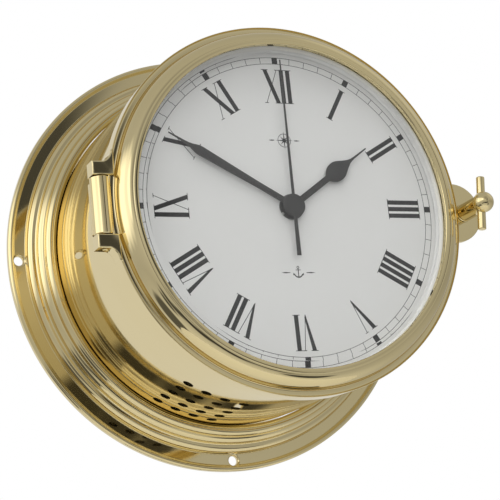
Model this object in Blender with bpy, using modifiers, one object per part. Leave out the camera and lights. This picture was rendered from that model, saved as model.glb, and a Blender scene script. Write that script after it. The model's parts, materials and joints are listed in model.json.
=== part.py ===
"""Ship's deck clock: a brass wall clock with a hinged bezel, a quartz movement and a speaker for its bell.

The clock hangs on a wall. Its origin is the centre of its back face, +X points to 3 o'clock and +Z to
12 o'clock, and the front faces -Y. Lengths are millimetres, and a "depth" is a distance in front of the wall.
"""
import math

import bmesh
import bpy
from mathutils import Vector

MM = 0.001
RING_STEPS = 40               # facets round the large rings
GAP = 0.3                     # clearance kept between two pieces that touch
FACING = math.pi / 2          # turns a piece's own +Z to the clock's front, -Y

# Driving dimensions
FLANGE_RADIUS = 105.0
HOLE_CIRCLE_RADIUS = 99.7
MOUNTING_HOLE_RADIUS = 2.3
DRUM_RADIUS = 84.0
DRUM_WALL = 2.0
DRUM_FRONT = 87.6
SPIGOT_RADIUS = 80.4
SPIGOT_BORE = 76.0
DIAL_DEPTH = 94.0
BEZEL_RADIUS = 86.3
BEZEL_BACK = 88.2
BEZEL_BORE = 82.3
OPENING_RADIUS = 75.0
BEZEL_FRONT = 103.5
GLASS_RADIUS = 78.0
GLASS_BACK = 98.9
HINGE_X = -88.1
HINGE_DEPTH = 92.0
KNUCKLE_RADIUS = 4.5
MIDDLE_KNUCKLE = 12.8         # half its length
END_KNUCKLE = (13.1, 19.3)    # from and to, above and below the middle
COVER_SCREW_CIRCLE = 77.0
BOARD_POSTS = [(-26, 12), (26, 12), (-26, 44), (26, 44)]     # (x, z)
SCREW_X = 92.45
EAR_RADIUS = 14.3
EAR_CENTRE_X = 87.3
EAR_FRONT = 91.2
BAR_RADIUS, BAR_HALF, BAR_DEPTH = 1.95, 12.8, 107.0
BAR_TILT = math.radians(6.7)
HOUR_ANGLE, MINUTE_ANGLE, SECOND_ANGLE = 55.0, 300.0, 0.8

# Sound holes, clockwise from 12 o'clock in degrees, and depths in front of the wall
SOUND_HOLE_RADIUS = 2.5
SOUND_HOLE_ANGLES = [191.6 + 6.4 * column for column in range(4)]
SOUND_HOLE_DEPTHS = [20.3 + 9.8 * row for row in range(5)]
SPEAKER_ANGLE = 201.2
SPEAKER_DEPTH = 39.9

# Gear train: teeth, and the module of each meshing pair
PINION_LEAVES = 8
CANNON_LEAVES = 10
MOTION_TEETH = 30
HOUR_TEETH = 32
CENTRE_TEETH = 64
THIRD_TEETH = 60
SECONDS_TEETH = 50
INTERMEDIATE_TEETH = 48
INTERMEDIATE_LEAVES = 10
MOTION_MODULE = 0.55
SECONDS_MODULE = 0.4
CENTRE_MODULE = SECONDS_MODULE * (PINION_LEAVES + THIRD_TEETH) / (PINION_LEAVES + CENTRE_TEETH)
ROTOR_MODULE = 0.36
TIP_HEIGHT, ROOT_DEPTH, TIP_SHARE = 0.6, 1.2, 0.15     # in modules, modules, and shares of a tooth pitch

MOVEMENT_HALF = 30.0          # half the width of the square movement case
MOVEMENT_BACK = 67.4
MOVEMENT_FRONT = 90.6

# Arbors, as (x, z)
ARBOR_CENTRE = (0.0, 0.0)


def away(start, angle, distance):
    """The point at a distance from start, towards an angle in degrees counterclockwise from +X."""
    turn = math.radians(angle)
    return (start[0] + distance * math.cos(turn), start[1] + distance * math.sin(turn))


MOTION_SPAN = MOTION_MODULE * (CANNON_LEAVES + MOTION_TEETH) / 2
ARBOR_MOTION = away(ARBOR_CENTRE, 0, MOTION_SPAN)
ARBOR_SETTING = away(ARBOR_MOTION, 0, MOTION_SPAN)
ARBOR_THIRD = away(ARBOR_CENTRE, 90, SECONDS_MODULE * (PINION_LEAVES + THIRD_TEETH) / 2)
ARBOR_INTERMEDIATE = away(ARBOR_CENTRE, 210, SECONDS_MODULE * (INTERMEDIATE_LEAVES + SECONDS_TEETH) / 2)
ARBOR_ROTOR = away(ARBOR_INTERMEDIATE, 180, ROTOR_MODULE * (PINION_LEAVES + INTERMEDIATE_TEETH) / 2)

for old in list(bpy.data.objects):
    bpy.data.objects.remove(old)

CLOCK = bpy.data.collections.new("ships_deck_clock")
CUTTERS = bpy.data.collections.new("cutters")
for collection in (CLOCK, CUTTERS):
    bpy.context.scene.collection.children.link(collection)


def material(name, colour, roughness, metallic=0.0):
    made = bpy.data.materials.new(name)
    made.use_nodes = True
    shader = made.node_tree.nodes["Principled BSDF"]
    shader.inputs["Base Color"].default_value = (*colour, 1.0)
    shader.inputs["Roughness"].default_value = roughness
    shader.inputs["Metallic"].default_value = metallic
    return made


BRASS = material("polished_brass", (0.78, 0.62, 0.28), 0.08, 1.0)
GEAR_BRASS = material("turned_brass", (0.72, 0.55, 0.24), 0.3, 1.0)
STEEL = material("steel", (0.55, 0.55, 0.56), 0.35, 1.0)
COPPER = material("enamelled_copper", (0.6, 0.25, 0.1), 0.35, 1.0)
DIAL_WHITE = material("dial_white", (0.58, 0.58, 0.56), 0.5)
RING_WHITE = material("ring_white", (0.62, 0.65, 0.62), 0.35)
HAND_BLACK = material("hand_black", (0.06, 0.06, 0.055), 0.4)
GLASS = material("mineral_glass", (0.9, 0.95, 0.93), 0.02)
RUBBER = material("black_rubber", (0.03, 0.03, 0.03), 0.8)
BLACK_PLASTIC = material("black_abs", (0.04, 0.04, 0.045), 0.5)
WHITE_ACETAL = material("white_acetal", (0.75, 0.74, 0.68), 0.45)
BOARD_GREEN = material("board_green", (0.03, 0.16, 0.07), 0.5)
CELL_JACKET = material("cell_jacket", (0.1, 0.12, 0.2), 0.3, 0.6)
FERRITE = material("ferrite", (0.05, 0.05, 0.05), 0.6)
CONE_PAPER = material("cone_paper", (0.05, 0.05, 0.05), 0.9)


def show(obj, finish, cutter):
    """Put an object in the clock with its finish, or among the cutters."""
    if cutter:
        CUTTERS.objects.link(obj)
        obj.hide_render = True
        obj.display_type = "WIRE"
    else:
        CLOCK.objects.link(obj)
        obj.data.materials.append(finish)
    return obj


def turned(name, profile, finish=None, steps=24, at=(0.0, 0.0), rotation=(FACING, 0.0, 0.0), y=0.0,
           cutter=False):
    """A solid of revolution from (radius, depth) points; one that reaches the axis starts and ends on it."""
    closed = profile[0][0] > 0
    area = sum(a[0] * b[1] - b[0] * a[1] for a, b in zip(profile, profile[1:] + profile[:1]))
    points = profile if area < 0 else profile[::-1]
    mesh = bpy.data.meshes.new(name)
    edges = [(i, i + 1) for i in range(len(points) - 1)] + ([(len(points) - 1, 0)] if closed else [])
    mesh.from_pydata([(r * MM, 0.0, d * MM) for r, d in points], edges, [])
    obj = show(bpy.data.objects.new(name, mesh), finish, cutter)
    screw = obj.modifiers.new("Turn", "SCREW")
    screw.steps = screw.render_steps = steps
    screw.use_merge_vertices = True
    screw.merge_threshold = 0.00001
    screw.use_smooth_shade = True
    obj.location = (at[0] * MM, y * MM, at[1] * MM)
    obj.rotation_euler = rotation
    return obj


def plate(name, outlines, low, high, finish=None, at=(0.0, 0.0), spin=0.0, cutter=False):
    """A flat piece between two depths; the first (x, z) outline is its edge and the others are its holes."""
    curve = bpy.data.curves.new(name, "CURVE")
    curve.dimensions = "2D"
    curve.fill_mode = "BOTH"
    curve.extrude = (high - low) / 2 * MM
    for outline in outlines:
        spline = curve.splines.new("POLY")
        spline.points.add(len(outline) - 1)
        spline.use_cyclic_u = True
        for point, (x, z) in zip(spline.points, outline):
            point.co = (x * MM, z * MM, 0.0, 1.0)
    guide = bpy.data.objects.new(name + "_outline", curve)
    CUTTERS.objects.link(guide)
    mesh = bpy.data.meshes.new_from_object(guide.evaluated_get(bpy.context.evaluated_depsgraph_get()))
    bpy.data.objects.remove(guide)
    tidy = bmesh.new()
    tidy.from_mesh(mesh)
    bmesh.ops.remove_doubles(tidy, verts=tidy.verts, dist=0.000001)
    bmesh.ops.recalc_face_normals(tidy, faces=tidy.faces)
    tidy.to_mesh(mesh)
    tidy.free()
    obj = show(bpy.data.objects.new(name, mesh), finish, cutter)
    obj.location = (at[0] * MM, -(low + high) / 2 * MM, at[1] * MM)
    obj.rotation_euler = (FACING, spin, 0.0)
    return obj


def bracket(name, outline, low, high):
    """A cutter of constant section along +Z, from (x, depth) points."""
    mesh = bpy.data.meshes.new(name)
    form = bmesh.new()
    face = form.faces.new([form.verts.new(Vector((x, -depth, low)) * MM) for x, depth in outline])
    raised = bmesh.ops.extrude_face_region(form, geom=[face])
    tops = [vert for vert in raised["geom"] if isinstance(vert, bmesh.types.BMVert)]
    bmesh.ops.translate(form, vec=Vector((0.0, 0.0, high - low)) * MM, verts=tops)
    bmesh.ops.recalc_face_normals(form, faces=form.faces)
    form.to_mesh(mesh)
    form.free()
    return show(bpy.data.objects.new(name, mesh), None, True)


def block(name, x, depth, z, finish=None, cutter=False):
    """A box given by its (low, high) along x, depth and z."""
    mesh = bpy.data.meshes.new(name)
    box = bmesh.new()
    bmesh.ops.create_cube(box, size=1.0)
    bmesh.ops.scale(box, vec=Vector((x[1] - x[0], depth[1] - depth[0], z[1] - z[0])) * MM, verts=box.verts)
    box.to_mesh(mesh)
    box.free()
    obj = show(bpy.data.objects.new(name, mesh), finish, cutter)
    obj.location = Vector(((x[0] + x[1]) / 2, -(depth[0] + depth[1]) / 2, (z[0] + z[1]) / 2)) * MM
    return obj


def combine(obj, operation, *others):
    for other in others:
        step = obj.modifiers.new(operation.title(), "BOOLEAN")
        step.operation = operation
        step.solver = "EXACT"
        step.object = other
    return obj


def join(obj, *others):
    return combine(obj, "UNION", *others)


def cut(obj, *others):
    return combine(obj, "DIFFERENCE", *others)


def circle(radius, sides=16, centre=(0.0, 0.0)):
    return [away(centre, 360 * i / sides, radius) for i in range(sides)]


def rod(name, radius, low, high, at=(0.0, 0.0), steps=16, **options):
    """A plain cylinder along the clock's depth."""
    return turned(name, [(0, low), (radius, low), (radius, high), (0, high)], steps=steps, at=at, **options)


def upright(name, radius, low, high, at_x, depth, steps=20, **options):
    """A plain cylinder along +Z."""
    profile = [(0, low), (radius, low), (radius, high), (0, high)]
    return turned(name, profile, steps=steps, at=(at_x, 0.0), y=-depth, rotation=(0.0, 0.0, 0.0), **options)


def arc(centre, radii, start, end, count):
    """Points along an ellipse's arc, in degrees."""
    angles = [math.radians(start + (end - start) * i / count) for i in range(count + 1)]
    return [(centre[0] + radii[0] * math.cos(a), centre[1] + radii[1] * math.sin(a)) for a in angles]


# ---------------------------------------------------------------- case
def wall_flange():
    """A spun flange: rim bead, flat screw channel, stepped shoulder and the collar that holds the drum."""
    front = [(104.4, 0.0), (FLANGE_RADIUS, 0.8), (FLANGE_RADIUS, 3.0), (104.0, 4.0), (102.4, 2.6)]
    front += [(96.0, 2.6), (95.7, 4.4), (94.2, 6.5), (92.6, 7.0), (92.1, 9.2), (89.8, 11.2)]
    front += [(89.3, 13.2), (87.4, 14.8), (86.2, 14.0), (84.3, 13.2), (84.3, 0.0)]
    hollow = [(86.3, 0.0), (86.3, 11.2), (87.6, 11.0), (89.0, 9.2), (92.2, 4.8), (93.4, 2.0), (93.6, 0.0)]
    flange = turned("wall_flange", front + hollow, BRASS, steps=RING_STEPS)
    sink = [(0, -1.0), (MOUNTING_HOLE_RADIUS, -1.0), (MOUNTING_HOLE_RADIUS, 1.8), (3.1, 2.6), (3.1, 6.0)]
    sink.append((0, 6.0))
    for number in range(4):
        centre = away((0, 0), 90 * number, HOLE_CIRCLE_RADIUS)
        cut(flange, turned(f"mounting_hole_{number + 1}", sink, steps=16, at=centre, cutter=True))


def sound_hole_cutter():
    """All the sound holes as one cutter, each a short bar that runs out through the drum's wall."""
    mesh = bpy.data.meshes.new("sound_holes")
    holes = bmesh.new()
    for angle in SOUND_HOLE_ANGLES:
        outward = Vector((math.sin(math.radians(angle)), 0.0, math.cos(math.radians(angle))))
        turn = outward.to_track_quat("Z", "Y").to_matrix().to_4x4()
        for depth in SOUND_HOLE_DEPTHS:
            made = bmesh.ops.create_cone(holes, cap_ends=True, segments=8, depth=8 * MM,
                                         radius1=SOUND_HOLE_RADIUS * MM, radius2=SOUND_HOLE_RADIUS * MM)
            bmesh.ops.transform(holes, matrix=turn, verts=made["verts"])
            place = outward * (DRUM_RADIUS - DRUM_WALL / 2) * MM + Vector((0.0, -depth * MM, 0.0))
            bmesh.ops.translate(holes, vec=place, verts=made["verts"])
    holes.to_mesh(mesh)
    holes.free()
    return show(bpy.data.objects.new("sound_holes", mesh), None, True)


def drum():
    """The case's drum: a foot ring at the wall, the pierced wall, and the spigot that carries the dial."""
    inside = DRUM_RADIUS - DRUM_WALL
    section = [(72, 2.7), (DRUM_RADIUS, 2.7), (DRUM_RADIUS, DRUM_FRONT), (SPIGOT_RADIUS, DRUM_FRONT)]
    section += [(SPIGOT_RADIUS, 92.6), (SPIGOT_BORE, 92.6), (SPIGOT_BORE, 85.8)]
    section += [(inside, 85.8), (inside, 5.2), (72, 5.2)]
    body = turned("drum", section, BRASS, steps=RING_STEPS)
    cut(body, sound_hole_cutter())
    for number in range(3):
        centre = away((0, 0), 90 + 120 * number, COVER_SCREW_CIRCLE)
        cut(body, rod(f"cover_thread_{number + 1}", 1.7, 0, 8, centre, steps=12, cutter=True))


def back_cover():
    """A steel disc that closes the drum at the wall, with the posts that carry the strike board."""
    cover = turned("back_cover", [(0, 0), (83.6, 0), (83.6, 2.4), (0, 2.4)], STEEL, steps=RING_STEPS)
    for number, (x, z) in enumerate(BOARD_POSTS):
        join(cover, rod(f"board_post_{number + 1}", 2.6, 1, 20, (x, z), steps=12, cutter=True))
    for number in range(3):
        centre = away((0, 0), 90 + 120 * number, COVER_SCREW_CIRCLE)
        sink = [(0, -1), (3.6, -1), (3.6, 1.5), (1.9, 1.5), (1.9, 4), (0, 4)]
        cut(cover, turned(f"cover_hole_{number + 1}", sink, steps=12, at=centre, cutter=True))
        screw = [(0, 0.2), (3.2, 0.2), (3.2, 1.2), (1.4, 1.2), (1.4, 7.5), (0, 7.5)]
        turned(f"back_cover_screw_{number + 1}", screw, STEEL, steps=12, at=centre)


def case_hinge():
    """The middle knuckle with its leaf on the drum, and the pin."""
    knuckle = upright("hinge_leaf", KNUCKLE_RADIUS, -MIDDLE_KNUCKLE, MIDDLE_KNUCKLE, HINGE_X, HINGE_DEPTH,
                      finish=BRASS)
    step = DRUM_FRONT - 0.2
    leaf = [(-84.0, 79.0), (-84.0, step), (-87.2, step), (-87.2, 91), (-91.6, 91), (-91.6, 86)]
    leaf += [(-87.6, 79.0)]
    join(knuckle, bracket("hinge_foot", leaf, -11.5, 11.5))
    cut(knuckle, rod("drum_clearance", DRUM_RADIUS + GAP, 60, 95, steps=2 * RING_STEPS, cutter=True))
    cut(knuckle, upright("knuckle_bore", 1.8, -30, 30, HINGE_X, HINGE_DEPTH, cutter=True))
    upright("hinge_pin", 1.5, -END_KNUCKLE[1] - 0.4, END_KNUCKLE[1] + 0.4, HINGE_X, HINGE_DEPTH, finish=BRASS)


def catch_lug():
    """The boss on the drum that takes the clamp screw's end."""
    lug = turned("catch_lug", [(0, 74), (7, 74), (7, DRUM_FRONT), (3.3, DRUM_FRONT), (3.3, 77), (0, 77)],
                 BRASS, steps=24, at=(SCREW_X, 0))
    join(lug, block("lug_foot", (82, 88.5), (75, DRUM_FRONT - 0.4), (-6, 6), cutter=True))
    cut(lug, rod("lug_clearance", DRUM_RADIUS + GAP, 60, 95, steps=2 * RING_STEPS, cutter=True))


# ---------------------------------------------------------------- bezel
def bezel():
    """The hinged ring that holds the glass, with its end knuckles and the ear for the clamp screw."""
    section = [(OPENING_RADIUS, 101.2), (OPENING_RADIUS, 103.1), (75.4, BEZEL_FRONT), (76.6, BEZEL_FRONT)]
    section += arc((76.6, 95.6), (6.5, 7.8), 78, 0, 5)
    section += [(83.5, 94.8), (85.4, 94.8), (86.0, 95.5), (BEZEL_RADIUS, 95.1), (BEZEL_RADIUS, BEZEL_BACK)]
    section += [(BEZEL_BORE, BEZEL_BACK), (BEZEL_BORE, 94.6), (79.6, 94.8), (79.6, 96.4)]
    section += [(78.4, 96.4), (78.4, 101.2)]
    ring = turned("bezel", section, BRASS, steps=RING_STEPS)
    ear = arc((EAR_CENTRE_X, 0.0), (EAR_RADIUS, EAR_RADIUS), -107, 107, 16)
    join(ring, plate("ear", [ear], BEZEL_BACK + 0.1, EAR_FRONT, cutter=True))
    cut(ring, rod("ear_hole", 3.3, 80, 100, (SCREW_X, 0), cutter=True))
    low, high = END_KNUCKLE
    for side in (-1, 1):
        span = sorted((side * low, side * high))
        name = "upper" if side > 0 else "lower"
        join(ring, upright(name + "_knuckle", KNUCKLE_RADIUS, *span, HINGE_X, HINGE_DEPTH, cutter=True))
        join(ring, block(name + "_arm", (HINGE_X, -81.9), (BEZEL_BACK + 0.2, 94.3), span, cutter=True))
    cut(ring, upright("hinge_notch", KNUCKLE_RADIUS + 0.4, -low, low, HINGE_X, HINGE_DEPTH, cutter=True))
    cut(ring, upright("pin_hole", 1.8, -30, 30, HINGE_X, HINGE_DEPTH, cutter=True))


def glazing():
    """The bevelled glass, its gasket and the ring that keeps them in the bezel."""
    edge = GLASS_BACK + 1.5
    face = GLASS_BACK + 3.4
    pane = [(0, GLASS_BACK), (GLASS_RADIUS, GLASS_BACK), (GLASS_RADIUS, edge)]
    pane += [(76.6, edge), (71.5, face), (0, face)]
    turned("glass", pane, GLASS, steps=RING_STEPS)
    gasket = [(75.8, 97.9), (78.0, 97.9), (78.0, 98.6), (75.8, 98.6)]
    turned("glass_gasket", gasket, RUBBER, steps=RING_STEPS)
    keeper = [(75.5, 96.5), (78.1, 96.5), (78.1, 97.6), (75.5, 97.6)]
    turned("glass_retaining_ring", keeper, BRASS, steps=RING_STEPS)


def clamp_screw():
    """The captive screw that holds the bezel shut: thrust washer, ball-headed screw and tommy bar."""
    back = EAR_FRONT + GAP
    washer = [(3.2, back), (4.4, back), (4.4, 92.1), (3.2, 92.1)]
    turned("thrust_washer", washer, BRASS, steps=20, at=(SCREW_X, 0))
    ball = arc((0, 109.3), (4.5, 4.5), -44, 90, 7)[:-1]
    shank = [(0, 79.0), (2.2, 79.0), (2.8, 80.0), (2.8, 92.4), (3.4, 92.4)]
    screw = turned("clamp_screw", shank + ball + [(0, 113.8)], BRASS, steps=20, at=(SCREW_X, 0))
    bar = upright("tommy_bar", BAR_RADIUS, -BAR_HALF, BAR_HALF, SCREW_X, BAR_DEPTH, steps=12, finish=BRASS)
    hole = upright("bar_hole", BAR_RADIUS + GAP, -9.0, 9.0, SCREW_X, BAR_DEPTH, steps=12, cutter=True)
    bar.rotation_euler = hole.rotation_euler = (0.0, BAR_TILT, 0.0)
    cut(screw, hole)


# ---------------------------------------------------------------- dial and hands
def dial():
    plate("dial_plate", [circle(80.2, RING_STEPS), circle(4.3)], 93.0, DIAL_DEPTH, DIAL_WHITE)
    ring = [(73.6, 94.3), (79.2, 94.3), (79.2, 95.9), (75.2, 95.9), (73.6, 94.7)]
    turned("dial_ring", ring, RING_WHITE, steps=RING_STEPS)
    nut = turned("dial_nut", [(4.25, 94.3), (5.85, 94.3), (5.85, 95.4), (4.25, 95.4)], HAND_BLACK)
    for number, angle in enumerate((34, 214)):
        corners = [away(away((0, 0), angle, reach), angle + 90, side)
                   for reach, side in ((4.9, -0.6), (7, -0.6), (7, 0.6), (4.9, 0.6))]
        cut(nut, plate(f"nut_slot_{number + 1}", [corners], 94, 96, cutter=True))


def hand(name, half, low, high, angle, hub, bore=None, hub_back=None):
    """A flat hand from the (half width, distance) points of its right side, with a round hub."""
    outline = [(w, r) for w, r in half] + [(-w, r) for w, r in half[::-1]]
    piece = plate(name, [outline], low, high, HAND_BLACK, spin=math.radians(angle))
    back = low if hub_back is None else hub_back
    join(piece, rod(name + "_hub", hub, back, high + 0.02, steps=24, cutter=True))
    if bore:
        cut(piece, rod(name + "_bore", bore, back - 1, high + 1, cutter=True))


def hands():
    hour = [(1.5, 0.0), (1.5, 23.6), (3.0, 24.8), (4.3, 27.0), (4.6, 29.2), (4.3, 31.2), (3.3, 33.4)]
    hour += [(2.1, 35.4), (1.1, 37.2), (0.55, 39.4), (0.35, 49.5)]
    hand("hour_hand", hour, 95.9, 96.3, HOUR_ANGLE, 4.4, 2.9)
    minute = [(1.4, 0.0), (1.5, 20.0), (2.3, 48.5), (1.4, 52.5), (0.6, 56.0), (0.25, 65.5)]
    hand("minute_hand", minute, 96.6, 97.0, MINUTE_ANGLE, 4.0, 2.0)
    second = [(1.05, -23.2), (0.75, 0.0), (0.3, 69.3)]
    hand("seconds_hand", second, 97.5, 97.8, SECOND_ANGLE, 5.35, hub_back=97.4)


# ---------------------------------------------------------------- movement
def tooth_outline(teeth, module, phase):
    """A wheel's outline: two points on each tooth's tip and one in each root, with angles in turns."""
    radius = module * teeth / 2
    points = []
    for number in range(teeth):
        middle = phase + number / teeth
        for share, reach in ((-TIP_SHARE / 2, TIP_HEIGHT), (TIP_SHARE / 2, TIP_HEIGHT), (0.5, -ROOT_DEPTH)):
            points.append(away((0, 0), 360 * (middle + share / teeth), radius + reach * module))
    return points


def mesh_phase(driver_teeth, driver_phase, driven_teeth, direction):
    """The phase that puts a driven wheel in mesh with its driver, seen in a direction in turns."""
    offset = (direction - driver_phase) * driver_teeth
    return direction + 0.5 + (0.5 + offset) / driven_teeth


def arbor_set(name, at, arbor, finish, *wheels):
    """A shaft (radius, low, high) with its wheels (teeth, module, phase, low, high)."""
    radius, low, high = arbor
    shaft = rod(name, radius, low, high, at, steps=8, finish=finish)
    for number, (teeth, module, phase, back, front) in enumerate(wheels):
        outline = tooth_outline(teeth, module, phase)
        join(shaft, plate(f"{name}_wheel_{number + 1}", [outline], back, front, at=at, cutter=True))
    return shaft


def seconds_train():
    """Stepper rotor to centre wheel: the wheels that run whenever the clock goes."""
    towards = 0.0
    rotor = arbor_set("rotor", ARBOR_ROTOR, (0.6, 71.2, 80.6), WHITE_ACETAL,
                      (PINION_LEAVES, ROTOR_MODULE, 0.0, 78.2, 79.9))
    join(rotor, rod("rotor_magnet", 3.0, 72.6, 75.8, ARBOR_ROTOR, steps=16, cutter=True))
    phase = mesh_phase(PINION_LEAVES, 0.0, INTERMEDIATE_TEETH, towards)
    towards = 30 / 360
    arbor_set("intermediate_wheel", ARBOR_INTERMEDIATE, (0.7, 77.2, 84.8), WHITE_ACETAL,
              (INTERMEDIATE_TEETH, ROTOR_MODULE, phase, 78.6, 79.6),
              (INTERMEDIATE_LEAVES, SECONDS_MODULE, 0.0, 79.5, 82.2))
    phase = mesh_phase(INTERMEDIATE_LEAVES, 0.0, SECONDS_TEETH, towards)
    towards = 0.25
    arbor_set("seconds_wheel", ARBOR_CENTRE, (0.8, 77.2, 97.1), WHITE_ACETAL,
              (SECONDS_TEETH, SECONDS_MODULE, phase, 80.9, 81.9),
              (PINION_LEAVES, SECONDS_MODULE, 0.0, 81.8, 84.5))
    phase = mesh_phase(PINION_LEAVES, 0.0, THIRD_TEETH, towards)
    arbor_set("third_wheel", ARBOR_THIRD, (0.8, 77.2, 88.4), WHITE_ACETAL,
              (THIRD_TEETH, SECONDS_MODULE, phase, 83.2, 84.2),
              (PINION_LEAVES, CENTRE_MODULE, 0.0, 84.1, 86.9))
    phase = mesh_phase(PINION_LEAVES, 0.0, CENTRE_TEETH, 0.75)
    outline = tooth_outline(CENTRE_TEETH, CENTRE_MODULE, phase)
    plate("centre_wheel", [outline, circle(2.05, 16)], 85.6, 86.6, GEAR_BRASS)


def motion_work():
    """Cannon pinion to hour wheel, and the setting knob: the wheels that set the time."""
    cannon = rod("cannon_pinion", 1.7, 85.3, 97.2, steps=16, finish=GEAR_BRASS)
    outline = tooth_outline(CANNON_LEAVES, MOTION_MODULE, 0.0)
    join(cannon, plate("cannon_leaves", [outline], 87.9, 89.0, cutter=True))
    cut(cannon, rod("cannon_bore", 1.15, 80, 99, steps=16, cutter=True))
    phase = mesh_phase(CANNON_LEAVES, 0.0, MOTION_TEETH, 0.0)
    arbor_set("motion_wheel", ARBOR_MOTION, (0.9, 87.2, 91.3), WHITE_ACETAL,
              (MOTION_TEETH, MOTION_MODULE, phase, 87.9, 88.9),
              (PINION_LEAVES, MOTION_MODULE, 0.0, 88.8, 90.3))
    knob_phase = mesh_phase(MOTION_TEETH, phase, CANNON_LEAVES, 0.0)
    knob = arbor_set("setting_knob", ARBOR_SETTING, (1.1, 64.0, 91.3), BLACK_PLASTIC,
                     (CANNON_LEAVES, MOTION_MODULE, knob_phase, 87.7, 89.1))
    join(knob, rod("knob_grip", 6.0, 62.0, 66.6, ARBOR_SETTING, steps=20, cutter=True))
    phase = mesh_phase(PINION_LEAVES, 0.0, HOUR_TEETH, 0.5)
    pipe = rod("hour_wheel", 2.6, 89.3, 96.45, steps=20, finish=GEAR_BRASS)
    outline = tooth_outline(HOUR_TEETH, MOTION_MODULE, phase)
    join(pipe, plate("hour_teeth", [outline], 89.28, 90.3, cutter=True))
    cut(pipe, rod("hour_bore", 2.0, 85, 99, steps=20, cutter=True))


def square(half_x, half_z, centre=(0.0, 0.0)):
    x, z = centre
    return [(x + i * half_x, z + j * half_z) for i, j in ((-1, -1), (1, -1), (1, 1), (-1, 1))]


def movement_frame():
    """Front plate with its threaded boss, the case behind it, and the inner gear plate."""
    half = MOVEMENT_HALF
    outlines = [square(half, half), circle(1.2, 12, ARBOR_MOTION), circle(1.4, 12, ARBOR_SETTING)]
    front = plate("movement_front_plate", outlines, MOVEMENT_FRONT + GAP, 92.4, BLACK_PLASTIC)
    join(front, rod("boss", 3.95, 91.0, 95.6, cutter=True))
    cut(front, rod("boss_bore", 2.95, 85, 99, cutter=True))
    side = (-half, half)
    case = block("movement_case", side, (MOVEMENT_BACK, MOVEMENT_FRONT), side, BLACK_PLASTIC)
    inner = half - 1.6
    cut(case, block("case_hollow", (-inner, inner), (MOVEMENT_BACK + 1.6, 99), (-inner, inner), cutter=True))
    cut(case, rod("knob_hole", 1.5, 60, 75, ARBOR_SETTING, steps=12, cutter=True))
    inner -= GAP
    outlines = [square(inner, inner), circle(1.5, 12, ARBOR_SETTING)]
    outlines += [circle(1.1, 12, at) for at in (ARBOR_CENTRE, ARBOR_THIRD, ARBOR_INTERMEDIATE, ARBOR_ROTOR)]
    plate("gear_plate", outlines, 76.9, 77.9, WHITE_ACETAL)


def motor():
    """Stepper motor: stator, coil core, bobbin and winding, with the quartz board behind it."""
    x, z = ARBOR_ROTOR
    leg = [(x - 6, -23), (x - 1, -23), (x - 1, z - 6), (x + 6, z - 6), (x + 6, z + 6), (x - 6, z + 6)]
    plate("stator", [leg, circle(3.5, 20, ARBOR_ROTOR)], 73.2, 74.8, STEEL)
    block("coil_core", (x - 0.6, 12), (73.4, 74.6), (-22.4, -19.6), STEEL)
    sideways = (0.0, math.pi / 2, 0.0)
    spool = [(1.9, -17), (2.9, -17), (2.9, -16.2), (2.2, -16.2), (2.2, 8.2), (2.9, 8.2), (2.9, 9), (1.9, 9)]
    turned("coil_bobbin", spool, WHITE_ACETAL, steps=16, at=(0, -21), y=-74, rotation=sideways)
    wire = [(2.3, -16), (2.75, -16), (2.75, 8), (2.3, 8)]
    turned("coil_winding", wire, COPPER, steps=16, at=(0, -21), y=-74, rotation=sideways)
    plate("circuit_board", [square(20, 24, (6, 0)), circle(1.6, 12, ARBOR_SETTING)], 69.4, 70.6, BOARD_GREEN)
    upright("quartz_can", 1.0, 6, 12, 8, 71.95, steps=12, finish=STEEL)


def battery():
    """One AA cell upright in an open tray beside the movement, with its two contacts."""
    x, depth = -40.0, 79.0
    tray = block("battery_tray", (x - 9.2, x + 9.2), (74, 88), (-29.2, 29.2), BLACK_PLASTIC)
    cut(tray, block("tray_hollow", (x - 7.7, x + 7.7), (60, 86.5), (-27.7, 27.7), cutter=True))
    cell = [(0, -25.2), (7.1, -25.2), (7.1, 24.0), (2.7, 24.0), (2.7, 25.3), (0, 25.3)]
    turned("battery", cell, CELL_JACKET, steps=24, at=(x, 0), y=-depth, rotation=(0.0, 0.0, 0.0))
    block("battery_contact_positive", (x - 5, x + 5), (74.5, 85), (25.7, 26.3), STEEL)
    block("battery_contact_negative", (x - 5, x + 5), (74.5, 85), (-26.3, -25.7), STEEL)


# ---------------------------------------------------------------- strike
def speaker():
    """A round loudspeaker facing out through the sound holes, in (radius, reach from the clock's axis)."""
    lean = (0.0, math.radians(SPEAKER_ANGLE), 0.0)
    options = {"y": -SPEAKER_DEPTH, "rotation": lean}
    frame = [(25, 76), (25, 74.6), (21.6, 74.6), (12.6, 64.4), (12.6, 62.9), (5, 62.9), (5, 64.1)]
    frame += [(11.4, 64.1), (20.6, 75.0), (21.4, 76)]
    turned("speaker_frame", frame, STEEL, steps=24, **options)
    turned("speaker_magnet", [(0, 54), (11, 54), (11, 62.6), (0, 62.6)], FERRITE, steps=24, **options)
    cone = [(0, 68.2), (5, 67.4), (19.4, 75.2), (19.4, 75.8), (5, 68.0), (0, 68.8)]
    turned("speaker_cone", cone, CONE_PAPER, steps=24, **options)
    sleeve = [(21.6, 76.3), (25, 76.3), (25, 83), (21.6, 83)]
    gasket = turned("speaker_gasket", sleeve, RUBBER, steps=24, **options)
    inside = DRUM_RADIUS - DRUM_WALL - GAP - 0.2
    combine(gasket, "INTERSECT", rod("drum_inside", inside, 6, 84, steps=RING_STEPS, cutter=True))


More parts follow.
